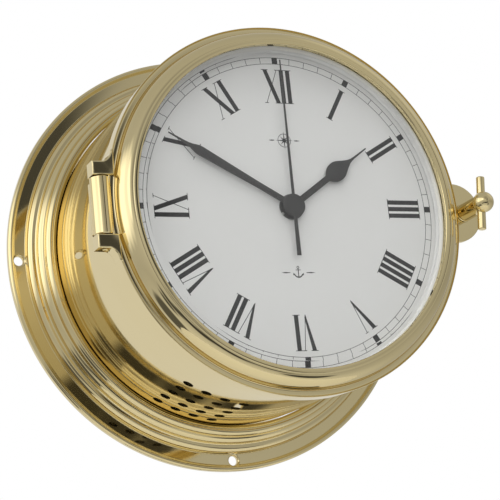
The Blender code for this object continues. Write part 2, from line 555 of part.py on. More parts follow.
def lead(name, route, radius=1.0):
    """A wire along a smooth curve through (x, depth, z) points."""
    knots = [Vector((x, -depth, z)) * MM for x, depth, z in route]
    ends = [knots[0] * 2 - knots[1]] + knots + [knots[-1] * 2 - knots[-2]]
    points = []
    for before, start, end, after in zip(ends, ends[1:], ends[2:], ends[3:]):
        for step in range(4):
            t = step / 4
            bend = 2 * before - 5 * start + 4 * end - after
            twist = 3 * start - before - 3 * end + after
            points.append(start + 0.5 * ((end - before) * t + bend * t ** 2 + twist * t ** 3))
    points.append(knots[-1])
    curve = bpy.data.curves.new(name, "CURVE")
    curve.dimensions = "3D"
    curve.bevel_depth = radius * MM
    curve.bevel_resolution = 1
    curve.use_fill_caps = True
    spline = curve.splines.new("POLY")
    spline.points.add(len(points) - 1)
    for point, place in zip(spline.points, points):
        point.co = (*place, 1.0)
    show(bpy.data.objects.new(name, curve), RUBBER, False)


def strike_works():
    """The strike board on its posts, its parts, the strike switch and the leads."""
    plate("strike_board", [square(30, 20, (0, 28))], 20.3, 21.9, BOARD_GREEN)
    block("strike_chip", (-6, 6), (22.2, 24.4), (24, 36), BLACK_PLASTIC)
    rod("strike_capacitor", 4.0, 22.2, 33, (18, 38), steps=20, finish=CELL_JACKET)
    body = block("mode_switch_body", (-22, -10), (22.2, 27), (36, 42), STEEL)
    cut(body, block("switch_slot", (-20.2, -11.8), (24.4, 30), (37.6, 40.4), cutter=True))
    block("mode_switch_knob", (-19.6, -16.6), (24.8, 30.5), (38, 40), BLACK_PLASTIC)
    lead("speaker_lead", [(-12, 23.2, 16), (-14, 30, 10), (-18, 38, -6), (-21, 40, -28), (-20.5, 40, -49.0)])
    lead("power_lead", [(-24, 23.2, 22), (-30, 32, 24), (-38, 50, 26), (-40, 64, 28.6), (-40, 73.0, 28.4)])


wall_flange()
drum()
back_cover()
case_hinge()
catch_lug()
bezel()
glazing()
clamp_screw()
dial()
hands()
seconds_train()
motion_work()
movement_frame()
motor()
battery()
speaker()
strike_works()
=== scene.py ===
"""A brass ship's deck clock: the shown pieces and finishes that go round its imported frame.

The clock hangs on a wall. Its origin is the centre of its back face, +X points to 3 o'clock, +Z to
12 o'clock and the front faces -Y. Sizes are in millimetres, and a depth is a distance in front of
the wall.
"""

from __future__ import annotations

import json
import logging
import math
from dataclasses import dataclass, field
from enum import Enum
from typing import Any, Iterable, Sequence

import bmesh
import bpy
from mathutils import Matrix, Vector

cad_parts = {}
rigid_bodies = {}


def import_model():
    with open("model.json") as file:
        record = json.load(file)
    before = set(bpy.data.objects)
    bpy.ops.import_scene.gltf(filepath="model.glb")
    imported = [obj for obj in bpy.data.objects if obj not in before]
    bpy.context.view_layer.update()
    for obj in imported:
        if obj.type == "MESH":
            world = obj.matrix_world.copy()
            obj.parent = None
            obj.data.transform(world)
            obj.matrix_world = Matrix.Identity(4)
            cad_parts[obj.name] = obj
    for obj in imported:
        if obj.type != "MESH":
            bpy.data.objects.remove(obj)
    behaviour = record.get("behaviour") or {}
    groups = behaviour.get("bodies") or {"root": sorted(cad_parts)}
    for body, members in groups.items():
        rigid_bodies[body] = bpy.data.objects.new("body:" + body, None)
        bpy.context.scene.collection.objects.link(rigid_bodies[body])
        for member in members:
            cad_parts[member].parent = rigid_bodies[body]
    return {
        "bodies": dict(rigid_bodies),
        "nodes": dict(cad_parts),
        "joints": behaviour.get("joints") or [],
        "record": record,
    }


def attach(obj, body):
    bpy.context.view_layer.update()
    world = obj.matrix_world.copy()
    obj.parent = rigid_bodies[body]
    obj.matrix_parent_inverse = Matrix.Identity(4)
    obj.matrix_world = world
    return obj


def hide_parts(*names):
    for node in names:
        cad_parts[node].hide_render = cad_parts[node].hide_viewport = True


MM = 0.001
LOG = logging.getLogger("deck_clock")
# Points nearer than this, in metres, are one point, and edges shorter than this are dissolved.
MERGE_GAP, SLIVER = 0.0000005, 0.0000002
# Two points whose depths differ by less than this, in metres, are level.
LEVEL_GAP = 0.000000001
# The part of a noise cloud's range that gloss follows, and the shares of the roughness at its ends.
CLOUD_RANGE, GLOSS_RANGE = (0.25, 0.75), (0.8, 1.2)

Point = tuple[float, float]
BMesh = bmesh.types.BMesh
Socket = bpy.types.NodeSocket


class Body(Enum):
    """The moving bodies that shown pieces ride on."""

    CASE = "case"
    BEZEL = "bezel_door"
    WASHER = "washer"
    SCREW = "screw"
    HOUR = "hour"
    MINUTE = "minute"
    SECONDS = "seconds"


class Axis(Enum):
    """The directions that a piece can be turned about."""

    FRONT = "front"
    UP = "up"


class Boolean(Enum):
    """The ways to put two forms together."""

    CUT = "DIFFERENCE"
    WELD = "UNION"


# ------------------------------------------------------------------ node and colour tools
def linear(code: str) -> tuple[float, float, float, float]:
    """Turn an sRGB hex colour into Blender's linear colour.

    Args:
        code: The colour, such as "#C8C8C6".

    Returns:
        Red, green, blue and an alpha of 1.
    """
    parts = [int(code[i : i + 2], 16) / 255 for i in (1, 3, 5)]
    red, green, blue = (p / 12.92 if p <= 0.04045 else ((p + 0.055) / 1.055) ** 2.4 for p in parts)
    return (red, green, blue, 1.0)


@dataclass(frozen=True)
class Nodes:
    """The nodes of a material or of the world, and short ways to add to them.

    Attributes:
        tree: The node tree.
    """

    tree: bpy.types.NodeTree

    def add(self, kind: str, inputs: dict[Any, Any] | None = None, **settings: Any) -> bpy.types.Node:
        """Add a shader node with its settings, its input values and its links.

        Args:
            kind: The node's type without its "ShaderNode" prefix.
            inputs: A value, or another node's output socket, for each input by name or number.
            **settings: Properties of the node itself.

        Returns:
            The new node.
        """
        node = self.tree.nodes.new("ShaderNode" + kind)
        for key, value in settings.items():
            setattr(node, key, value)
        for key, value in (inputs or {}).items():
            if isinstance(value, Socket):
                self.tree.links.new(value, node.inputs[key])
            else:
                node.inputs[key].default_value = value
        return node

    def maths(self, operation: str, *values: Any) -> Socket:
        """Return the result of an operation on numbers."""
        return self.add("Math", dict(enumerate(values)), operation=operation).outputs[0]

    def vectors(self, operation: str, *values: Any) -> Socket:
        """Return the result of an operation on vectors: a number for a length or a dot product."""
        made = self.add("VectorMath", dict(enumerate(values)), operation=operation)
        return made.outputs["Value" if operation in ("LENGTH", "DOT_PRODUCT") else "Vector"]

    def mix(self, share: Socket, first: Any, second: Any) -> Socket:
        """Return a colour between two others."""
        return self.add("Mix", {0: share, 6: first, 7: second}, data_type="RGBA").outputs[2]


# ------------------------------------------------------------------ finishes
@dataclass(frozen=True)
class Finish:
    """A surface with a base colour that varies a little and a fine relief.

    Attributes:
        name: The real material and how its surface was made.
        slot: The record's material slot. Not used.
        colour: The base colour in sRGB hex.
        shade: The second colour that the variation runs to.
        roughness: How far reflections blur.
        metallic: 1 for bare metal, otherwise 0.
        ior: The refractive index of what isn't metal.
        grain: The size of the relief's grain, in millimetres.
        relief: The relief's depth, in millimetres.
        patch: The size of the colour's patches, in millimetres.
    """

    name: str
    slot: str
    colour: str
    shade: str
    roughness: float
    metallic: float = 0.0
    ior: float = 1.5
    grain: float = 0.6
    relief: float = 0.004
    patch: float = 9.0

    def build(self) -> bpy.types.Material:
        """Make the material.

        Returns:
            The finished material.
        """
        made = bpy.data.materials.new(self.name)
        made.use_nodes = True
        made.node_tree.nodes.clear()
        nodes = Nodes(made.node_tree)
        place = nodes.add("TexCoord").outputs["Object"]
        nodes.add("OutputMaterial", {"Surface": self.surface(nodes, place)})
        return made

    def surface(self, nodes: Nodes, place: Socket) -> Socket:
        """Join colour, gloss and relief in a shader.

        Args:
            nodes: The material's nodes.
            place: The object coordinates, in metres.

        Returns:
            The shader's socket.
        """
        inputs = {"Metallic": self.metallic, "IOR": self.ior, **self.colouring(nodes, place)}
        bump = nodes.add("Bump", {"Height": self.height(nodes, place), "Distance": self.relief * MM,
                                  "Strength": 1.0})
        return nodes.add("BsdfPrincipled", {**inputs, "Normal": bump.outputs["Normal"]}).outputs["BSDF"]

    def colouring(self, nodes: Nodes, place: Socket) -> dict[str, Any]:
        """Run the base colour between its two shades in soft patches, and the roughness with it.

        Args:
            nodes: The material's nodes.
            place: The coordinates that the patches follow.

        Returns:
            The shader's colour and roughness.
        """
        cloud = nodes.add("TexNoise", {"Vector": place, "Scale": 1 / (self.patch * MM), "Detail": 3.0})
        share = cloud.outputs["Fac"]
        gloss = nodes.add("MapRange", {"Value": share, "From Min": CLOUD_RANGE[0], "From Max": CLOUD_RANGE[1],
                                       "To Min": self.roughness * GLOSS_RANGE[0],
                                       "To Max": self.roughness * GLOSS_RANGE[1]})
        return {"Base Color": nodes.mix(share, linear(self.colour), linear(self.shade)),
                "Roughness": gloss.outputs["Result"]}

    def height(self, nodes: Nodes, place: Socket) -> Socket:
        """Return the relief's height: a fine even grain."""
        grain = nodes.add("TexNoise", {"Vector": place, "Scale": 1 / (self.grain * MM), "Detail": 2.0})
        return grain.outputs["Fac"]


@dataclass(frozen=True)
class TurnedFinish(Finish):
    """A surface turned or spun on a lathe, with faint lines that run round the clock's axis.

    Attributes:
        drift: How far the lines wander in one turn, in line spacings.
    """

    drift: float = 0.35

    def height(self, nodes: Nodes, place: Socket) -> Socket:
        """Raise the surface by lines that run round the axis.

        Args:
            nodes: The material's nodes.
            place: The object coordinates, in metres.

        Returns:
            The relief's height.
        """
        along = nodes.add("SeparateXYZ", {0: place}).outputs
        flat = nodes.add("CombineXYZ", {0: along[0], 2: along[2]}).outputs[0]
        turn = nodes.add("SeparateXYZ", {0: nodes.vectors("NORMALIZE", flat)}).outputs
        count = 1 / (self.grain * MM)
        across = nodes.maths("MULTIPLY", nodes.vectors("LENGTH", flat), count)
        deep = nodes.maths("MULTIPLY", along[1], count)
        wander = [nodes.maths("MULTIPLY", turn[side], self.drift) for side in (0, 2)]
        lines = nodes.add("CombineXYZ", {0: across, 1: deep, 2: wander[0]}).outputs[0]
        grooves = nodes.add("TexNoise", {"Vector": lines, "W": wander[1], "Scale": 1.0, "Detail": 2.0},
                            noise_dimensions="4D")
        return grooves.outputs["Fac"]


@dataclass(frozen=True)
class GlassFinish(Finish):
    """Float glass with a ground and polished bevel: clear, sharp and without a tint."""

    def surface(self, nodes: Nodes, place: Socket) -> Socket:
        """Make clear glass that lets lamplight straight through to the dial.

        Args:
            nodes: The material's nodes.
            place: The object coordinates, which clear glass doesn't need.

        Returns:
            The mixed shader's socket.
        """
        glass = nodes.add("BsdfPrincipled", {"Metallic": self.metallic, "IOR": self.ior,
                                             "Base Color": linear(self.colour), "Roughness": self.roughness,
                                             "Transmission Weight": 1.0})
        path = nodes.add("LightPath")
        clear = nodes.add("BsdfTransparent", {"Color": linear(self.shade)})
        mixed = nodes.add("MixShader", {0: path.outputs["Is Shadow Ray"], 1: glass.outputs["BSDF"],
                                        2: clear.outputs[0]})
        return mixed.outputs[0]


@dataclass(frozen=True)
class BandedFinish(Finish):
    """A surface with regular bands, such as wound wire or a battery's printed jacket.

    Attributes:
        pitch: The distance from one band to the next, in millimetres.
        direction: The axis that the bands follow one another along: X, Y or Z.
        offset: Where the pattern starts, in millimetres.
        edge: Where the second colour starts and where it is full, as shares of a band.
    """

    pitch: float = 0.8
    direction: str = "X"
    offset: float = 0.0
    edge: Point = (0.62, 0.72)

    def colouring(self, nodes: Nodes, place: Socket) -> dict[str, Any]:
        """Lay the two colours in bands.

        Args:
            nodes: The material's nodes.
            place: The object coordinates, in metres.

        Returns:
            The shader's colour and roughness.
        """
        along = nodes.add("SeparateXYZ", {0: place}).outputs[self.direction]
        turns = nodes.maths("MULTIPLY", nodes.maths("ADD", along, -self.offset * MM), 1 / (self.pitch * MM))
        edge = nodes.add("MapRange", {"Value": nodes.maths("FRACT", turns), "From Min": self.edge[0],
                                      "From Max": self.edge[1]}).outputs[0]
        return {"Base Color": nodes.mix(edge, linear(self.colour), linear(self.shade)),
                "Roughness": self.roughness}


@dataclass(frozen=True)
class BoardFinish(Finish):
    """Glass-epoxy board under green solder mask, with pale tinned pads and darker tracks between them.

    Attributes:
        pitch: The pad spacing, in millimetres.
        pad: A pad's radius, as a share of the spacing.
        track: How far from the pads' middle a track starts, as a share of the spacing.
        tin: The tinned pads' colour in sRGB hex.
    """

    pitch: float = 2.54
    pad: float = 0.24
    track: float = 0.36
    tin: str = "#B9B6A6"

    def colouring(self, nodes: Nodes, place: Socket) -> dict[str, Any]:
        """Lay pads on a grid over tracks in the mask's second shade.

        Args:
            nodes: The material's nodes.
            place: The object coordinates, in metres.

        Returns:
            The shader's colour and roughness.
        """
        cell = nodes.vectors("FRACTION", nodes.vectors("MULTIPLY", place, (1 / (self.pitch * MM),) * 3))
        flat = nodes.vectors("MULTIPLY", nodes.vectors("SUBTRACT", cell, (0.5, 0.5, 0.5)), (1.0, 0.0, 1.0))
        pad = nodes.maths("LESS_THAN", nodes.vectors("LENGTH", flat), self.pad)
        rows = nodes.add("SeparateXYZ", {0: flat}).outputs[2]
        track = nodes.maths("GREATER_THAN", rows, self.track)
        mask = nodes.mix(track, linear(self.colour), linear(self.shade))
        return {"Base Color": nodes.mix(pad, mask, linear(self.tin)), "Roughness": self.roughness}


# Spun and turned brass, buffed to a mirror and lacquered: sharp reflections, lathe lines only just there.
SPUN_BRASS = TurnedFinish("polished_spun_brass", "polished_brass", "#F1E1B2", "#ECDAA4", 0.05, 1.0, grain=1.4,
                          relief=0.0012, patch=40.0)
# Cast brass buffed by hand: the same colour, with the soft waviness that buffing leaves.
CAST_BRASS = Finish("polished_cast_brass", "polished_brass", "#F1E1B2", "#EAD69C", 0.07, 1.0, grain=2.6,
                    relief=0.004, patch=18.0)
# Brass strip, blanked and tumbled, as on clock wheels: dull and fine-grained.
WHEEL_BRASS = Finish("blanked_wheel_brass", "gear_brass", "#D9B566", "#C9A253", 0.3, 1.0, grain=0.5,
                     relief=0.01)
# Steel sheet, zinc plated and passivated: grey, faintly mottled.
ZINC_STEEL = Finish("zinc_plated_steel", "plated_steel", "#B9BBBD", "#A6A8AC", 0.34, 1.0, grain=0.9,
                    relief=0.012)
# Enamelled copper wire, drawn coarser than its real 0.1 mm so that the winding shows.
WOUND_COPPER = BandedFinish("enamelled_copper_wire", "enamelled_copper", "#C4703A", "#7C3B1B", 0.3, 1.0,
                            pitch=0.6)
# Sheet metal dial with baked matt enamel.
DIAL_ENAMEL = Finish("baked_dial_enamel", "dial_enamel", "#E6E6E4", "#E2E2E0", 0.5, grain=0.35, relief=0.0015,
                     patch=30.0)
# Black pad-printing ink: a shade above black, with a low sheen.
PRINT_INK = Finish("pad_printed_ink", "hand_enamel", "#1B1B1A", "#20201F", 0.55, grain=0.3, relief=0.001)
# Moulded white styrene ring between dial and glass.
RING_PLASTIC = Finish("moulded_white_styrene", "ring_plastic", "#ECECEA", "#E6E6E3", 0.3, ior=1.59,
                      relief=0.001)
# Stamped hands with dark grey stoved enamel.
HAND_ENAMEL = Finish("stoved_hand_enamel", "hand_enamel", "#2F2F2E", "#353433", 0.38, grain=0.5, relief=0.002)
CLOCK_GLASS = GlassFinish("bevelled_float_glass", "bevelled_glass", "#FFFFFF", "#FAFBFA", 0.0, ior=1.52)
# Extruded and moulded black rubber: matt, with a faint bloom.
BLACK_RUBBER = Finish("black_rubber", "black_rubber", "#1B1B1B", "#262625", 0.78, grain=0.5, relief=0.02)
# Painted shade: a dull black sheet just inside the drum wall that stands in for the shade behind the sound
# holes and keeps them dark.
SHADE_SHEET = Finish("painted_shade_sheet", "black_rubber", "#101010", "#191918", 0.95, grain=0.5, relief=0.05)
# Moulded black ABS with a spark-eroded texture.
BLACK_ABS = Finish("moulded_black_abs", "black_plastic", "#1E1E20", "#242426", 0.5, ior=1.54, grain=0.45,
                   relief=0.02)
# Moulded natural acetal: creamy and slick.
ACETAL = Finish("moulded_natural_acetal", "white_acetal", "#E6E3D6", "#DDD9C9", 0.3, ior=1.48, relief=0.003)
SOLDER_MASK = BoardFinish("glass_epoxy_board", "board_laminate", "#175C33", "#0F4526", 0.35, relief=0.004)
# Printed steel jacket of a dry cell: dark blue with a copper-coloured band.
CELL_JACKET = BandedFinish("printed_cell_jacket", "cell_jacket", "#1D2740", "#B47A3C", 0.25, 0.5, pitch=50.6,
                           direction="Z", offset=-25.3, relief=0.001)
CAPACITOR_SLEEVE = Finish("shrunk_pvc_sleeve", "cell_jacket", "#20222B", "#2A2D38", 0.35, relief=0.002)
SINTERED_FERRITE = Finish("sintered_ferrite", "ferrite", "#3A3A3B", "#2E2E30", 0.6, grain=0.4, relief=0.02)
CONE_PAPER = Finish("pressed_cone_paper", "cone_paper", "#2B2A28", "#383633", 0.9, grain=0.7, relief=0.05)


# ------------------------------------------------------------------ shape tools
def arc(centre: Point, radii: Point, start: float, end: float, count: int) -> list[Point]:
    """Return points along an ellipse's arc, in so many steps from one angle to another, in degrees."""
    angles = [math.radians(start + (end - start) * i / count) for i in range(count + 1)]
    return [(centre[0] + radii[0] * math.cos(a), centre[1] + radii[1] * math.sin(a)) for a in angles]


def tidied(form: BMesh) -> BMesh:
    """Merge a form's doubled points and turn its faces outwards.

    Args:
        form: The form, which is changed.

    Returns:
        The same form.
    """
    bmesh.ops.remove_doubles(form, verts=form.verts, dist=MERGE_GAP)
    bmesh.ops.dissolve_degenerate(form, edges=form.edges, dist=SLIVER)
    bmesh.ops.recalc_face_normals(form, faces=form.faces)
    return form


def turned(section: Sequence[Point], steps: int = 192, axis: Axis = Axis.FRONT,
           at: Point = (0.0, 0.0)) -> BMesh:
    """Turn a section round an axis.

    Args:
        section: (radius, depth) points, or (radius, height) for an upright axis. A section that
            reaches the axis starts and ends on it, and any other is closed.
        steps: The number of facets round the axis.
        axis: The direction of the axis.
        at: Where the axis is: (x, z), or (x, depth) for an upright axis.

    Returns:
        The closed form.
    """
    form = bmesh.new()
    front = axis is Axis.FRONT
    verts = [form.verts.new((r * MM, -d * MM, 0.0) if front else (r * MM, 0.0, d * MM)) for r, d in section]
    pairs = list(zip(verts, verts[1:])) + ([(verts[-1], verts[0])] if section[0][0] > 0 else [])
    edges = [form.edges.new(pair) for pair in pairs]
    bmesh.ops.spin(form, geom=verts + edges, cent=(0, 0, 0), axis=(0, 1, 0) if front else (0, 0, 1),
                   dvec=(0, 0, 0), angle=2 * math.pi, steps=steps, use_merge=True, use_duplicate=False)
    shift = (at[0], 0.0, at[1]) if front else (at[0], -at[1], 0.0)
    bmesh.ops.translate(form, vec=Vector(shift) * MM, verts=form.verts)
    return tidied(form)


def rod(radius: float, low: float, high: float, steps: int = 48, axis: Axis = Axis.FRONT,
        at: Point = (0.0, 0.0)) -> BMesh:
    """Return a plain cylinder, with the axis as for a turned section."""
    return turned([(0, low), (radius, low), (radius, high), (0, high)], steps, axis, at)


def swing(form: BMesh, angle: float) -> None:
    """Swing a form about the clock's axis, by degrees clockwise seen from the front."""
    turn = Matrix.Rotation(math.radians(angle), 3, "Y")
    bmesh.ops.rotate(form, cent=(0, 0, 0), matrix=turn, verts=form.verts)


def around(radius: float, angle: float) -> Point:
    """Return the point at a radius, in degrees from 3 o'clock."""
    return (radius * math.cos(math.radians(angle)), radius * math.sin(math.radians(angle)))


def slab(outline: Sequence[Point], low: float, high: float, soften: float = 0.0) -> BMesh:
    """Raise a flat outline between two depths.

    Args:
        outline: (x, z) points in order.
        low: The back's depth.
        high: The front's depth.
        soften: The radius that the front and back edges are rounded by.

    Returns:
        The closed form.
    """
    form = bmesh.new()
    face = form.faces.new([form.verts.new((x * MM, -low * MM, z * MM)) for x, z in outline])
    raised = bmesh.ops.extrude_face_region(form, geom=[face])["geom"]
    moved = [item for item in raised if isinstance(item, bmesh.types.BMVert)]
    bmesh.ops.translate(form, vec=(0.0, -(high - low) * MM, 0.0), verts=moved)
    bmesh.ops.recalc_face_normals(form, faces=form.faces)
    if soften:
        rims = [e for e in form.edges if abs(e.verts[0].co.y - e.verts[1].co.y) < LEVEL_GAP]
        bmesh.ops.bevel(form, geom=rims, offset=soften * MM, offset_type="OFFSET", segments=3, profile=0.5,
                        affect="EDGES", material=-1)
    return tidied(form)


def shell(name: str, form: BMesh) -> bpy.types.Object:
    """Make an object from a form and free the form.

    Args:
        name: The object's name.
        form: The form, which is freed.

    Returns:
        The object, in the scene's collection.
    """
    mesh = bpy.data.meshes.new(name)
    form.to_mesh(mesh)
    form.free()
    made = bpy.data.objects.new(name, mesh)
    bpy.context.scene.collection.objects.link(made)
    return made


def gathered(forms: Iterable[BMesh]) -> BMesh:
    """Put several forms together as shells of one form.

    Args:
        forms: The forms, which are freed.

    Returns:
        The new form.
    """
    whole = bmesh.new()
    for form in forms:
        mesh = bpy.data.meshes.new("part")
        form.to_mesh(mesh)
        form.free()
        whole.from_mesh(mesh)
        bpy.data.meshes.remove(mesh)
    return whole


def carved(solid: BMesh, tool: BMesh, operation: Boolean = Boolean.CUT) -> BMesh:
    """Cut one form with another.

    Args:
        solid: The form that is cut. It is freed.
        tool: The cutter. It is freed.
        operation: Whether the tool is cut out of the solid or welded to it.

    Returns:
        The cut form.
    """
    body, cutter = shell("carved", solid), shell("tool", tool)
    step = body.modifiers.new("Carve", "BOOLEAN")
    step.object, step.operation, step.solver = cutter, operation.value, "EXACT"
    step.use_self = True
    mesh = bpy.data.meshes.new_from_object(body.evaluated_get(bpy.context.evaluated_depsgraph_get()))
    form = bmesh.new()
    form.from_mesh(mesh)
    for spare in (body, cutter):
        old = spare.data
        bpy.data.objects.remove(spare)
        bpy.data.meshes.remove(old)
    bpy.data.meshes.remove(mesh)
    return form


@dataclass
class Bench:
    """Where pieces are finished and put on their bodies.

    Attributes:
        frame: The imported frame.
        finishes: Materials already made, by name.
    """

    frame: dict[str, Any]
    finishes: dict[str, bpy.types.Material] = field(default_factory=dict)

    def material(self, finish: Finish) -> bpy.types.Material:
        """Return a finish's material, made once."""
        if finish.name not in self.finishes:
            self.finishes[finish.name] = finish.build()
        return self.finishes[finish.name]

    def place(self, name: str, form: BMesh, finish: Finish, body: Body, nodes: Sequence[str] = (),
              crease: float = 32.0, level: bool = False) -> bpy.types.Object:
        """Finish a form as a shown piece.

        Args:
            name: The piece's name.
            form: The form, which is freed.
            finish: The piece's finish.
            body: The body that the piece rides on.
            nodes: The frame's nodes that the piece stands for.
            crease: The angle past which an edge stays sharp, in degrees.
            level: Whether flat faces shade as flat between rounded edges.

        Returns:
            The piece.
        """
        for face in form.faces:
            face.smooth = True
        for edge in form.edges:
            edge.smooth = len(edge.link_faces) == 2 and edge.calc_face_angle(0.0) < math.radians(crease)
        piece = shell(name, form)
        piece.data.materials.append(self.material(finish))
        if level:
            piece.modifiers.new("Level", "WEIGHTED_NORMAL").keep_sharp = True
        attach(piece, body.value)
        if nodes:
            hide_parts(*nodes)
        LOG.info("%s: %d faces, on %s", name, len(piece.data.polygons), body.value)
        return piece

    def dress(self, node: str, finish: Finish) -> None:
        """Give one of the frame's own nodes a finish.

        Args:
            node: The node's name.
            finish: Its finish.
        """
        for holder in self.frame["nodes"][node].material_slots:
            holder.material = self.material(finish)
        LOG.info("%s: dressed in %s", node, finish.name)


# ------------------------------------------------------------------ case
# The radii of the clamp screw's bores and of the hinge pin's.
SCREW_BORE, PIN_BORE = 3.3, 1.8


def drum_room() -> BMesh:
    """Return the cutter that shapes the lug and the hinge leaf to the drum."""
    return rod(84.1, 60, 95, 288)


@dataclass
class Case:
    """The wall flange, the drum with its sound holes, and the back cover's screws.

    Attributes:
        flange_radius: The flange's outside.
        hole_circle: The radius that the mounting holes lie on.
        drum_radius: The drum's outside.
        drum_wall: The drum's wall.
        drum_front: The depth of the drum's front edge.
        hole_radius: A sound hole's radius.
        hole_angles: The columns of sound holes, clockwise from 12 o'clock.
        hole_depths: The rows of sound holes.
        screw_circle: The radius that the back cover's screws lie on.
    """

    flange_radius: float = 105.0
    hole_circle: float = 99.7
    drum_radius: float = 84.0
    drum_wall: float = 2.0
    drum_front: float = 87.6
    hole_radius: float = 2.5
    hole_angles: Sequence[float] = tuple(191.6 + 6.4 * column for column in range(4))
    hole_depths: Sequence[float] = tuple(20.3 + 9.8 * row for row in range(5))
    screw_circle: float = 77.0

    def flange_section(self) -> list[Point]:
        """Return the flange's section: rim bead, channel, three-step moulding, collar, hollow back."""
        rim = self.flange_radius
        front = [(rim - 0.8, 0.0), (rim - 0.25, 0.2), (rim, 0.7)]
        front += arc((rim - 1.5, 2.6), (1.5, 1.5), 0, 150, 10)
        front += arc((101.6, 3.35), (0.9, 0.85), -30, -90, 4)
        front += arc((97.0, 2.9), (0.4, 0.4), -90, -165, 4)
        front += arc((93.4, 3.2), (3.1, 3.6), 6, 78, 10)
        front += arc((93.3, 7.6), (0.9, 0.9), -100, -165, 4)
        front += arc((89.2, 7.8), (3.2, 3.5), 8, 78, 10)
        front += arc((87.3, 11.7), (2.3, 3.2), 4, 92, 12)
        front += arc((86.3, 13.9), (0.8, 0.5), 60, 120, 3)
        front += [(84.6, 13.3), (84.3, 13.0), (84.3, 0.0)]
        hollow = [(86.3, 0.0), (86.3, 11.2), (87.6, 11.0), (89.0, 9.2), (90.6, 6.8), (92.2, 4.8), (93.4, 2.0)]
        return front + hollow + [(93.6, 0.0)]

    def mounting_hole(self, angle: float) -> BMesh:
        """Return the cutter for a countersunk mounting hole, by its angle from 3 o'clock."""
        sink = [(0, -2), (2.3, -2), (2.3, 1.5), (2.42, 1.95), (2.8, 2.35), (3.35, 2.53), (3.35, 8), (0, 8)]
        return turned(sink, 48, at=around(self.hole_circle, angle))

    def sound_hole(self, angle: float, depth: float) -> BMesh:
        """Return the cutter for a sound hole.

        Args:
            angle: The column's place, in degrees clockwise from 12 o'clock.
            depth: The row's depth.
        """
        form = rod(self.hole_radius, self.drum_radius - 5, self.drum_radius + 4, 32, Axis.UP)
        swing(form, angle)
        bmesh.ops.translate(form, vec=(0.0, -depth * MM, 0.0), verts=form.verts)
        return form

    def drum_section(self) -> list[Point]:
        """Return the drum's section: foot ring, wall, and the spigot under the dial."""
        outer, inner, front = self.drum_radius, self.drum_radius - self.drum_wall, self.drum_front
        wall = [(72, 2.7), (outer, 2.7), (outer, front - 0.3), (outer - 0.3, front)]
        wall += [(80.4, front), (80.4, 92.6)]
        return wall + [(76, 92.6), (76, 85.8), (inner, 85.8), (inner, 5.2), (72, 5.2)]

    def true_wall(self, piece: bpy.types.Object) -> None:
        """Point the drum wall's shading straight out from the axis, so that holes don't disturb it.

        Args:
            piece: The drum.
        """
        outermost, facing_out = (self.drum_radius - 0.25) * MM, 0.98
        mesh = piece.data
        normals = [Vector(corner.vector) for corner in mesh.corner_normals]
        for face in mesh.polygons:
            out = Vector((face.center.x, 0.0, face.center.z))
            if out.length > outermost and face.normal.dot(out.normalized()) > facing_out:
                for corner in face.loop_indices:
                    at = mesh.vertices[mesh.loops[corner].vertex_index].co
                    normals[corner] = Vector((at.x, 0.0, at.z)).normalized()
        mesh.normals_split_custom_set(normals)

    def cover_screw(self, angle: float) -> BMesh:
        """Return a pan-head screw with a cross recess.

        Args:
            angle: The screw's place, in degrees from 3 o'clock.
        """
        x, z = around(self.screw_circle, angle)
        head = [(0, 0.2), (1.6, 0.25), (2.6, 0.5), (3.1, 0.9), (3.2, 1.2), (1.4, 1.2), (1.4, 7.5), (0, 7.5)]
        form = turned(head, 48, at=(x, z))
        for long, short in ((1.5, 0.32), (0.32, 1.5)):
            bar = [(x + a * long, z + b * short) for a, b in ((-1, -1), (1, -1), (1, 1), (-1, 1))]
            form = carved(form, slab(bar, -1.0, 0.9))
        return form

    def build(self, bench: Bench) -> None:
        """Build and place the case's pieces.

        Args:
            bench: Where pieces are finished.
        """
        holes = gathered(self.mounting_hole(90.0 * number) for number in range(4))
        flange = carved(turned(self.flange_section(), 256), holes)
        bench.place("shown_wall_flange", flange, SPUN_BRASS, Body.CASE, ["wall_flange"], level=True)
        places = [(angle, depth) for angle in self.hole_angles for depth in self.hole_depths]
        holes = gathered(self.sound_hole(angle, depth) for angle, depth in places)
        drum = carved(turned(self.drum_section(), 288), holes)
        self.true_wall(bench.place("shown_drum", drum, SPUN_BRASS, Body.CASE, ["drum"]))
        for number in range(3):
            screw = self.cover_screw(90.0 + 120.0 * number)
            name = f"back_cover_screw_{number + 1}"
            bench.place(f"shown_{name}", screw, ZINC_STEEL, Body.CASE, [name])
        # Painted shade: a black sheet just inside the drum wall stands in for the shade behind the sound
        # holes.
        inside = self.drum_radius - self.drum_wall
        shade_section = [(inside - 0.8, 13.0), (inside - 0.25, 13.0), (inside - 0.25, 67.0), (inside - 0.8, 67.0)]
        bench.place("shown_painted_shade_sheet", turned(shade_section, 144), SHADE_SHEET, Body.CASE)
        bench.dress("back_cover", ZINC_STEEL)


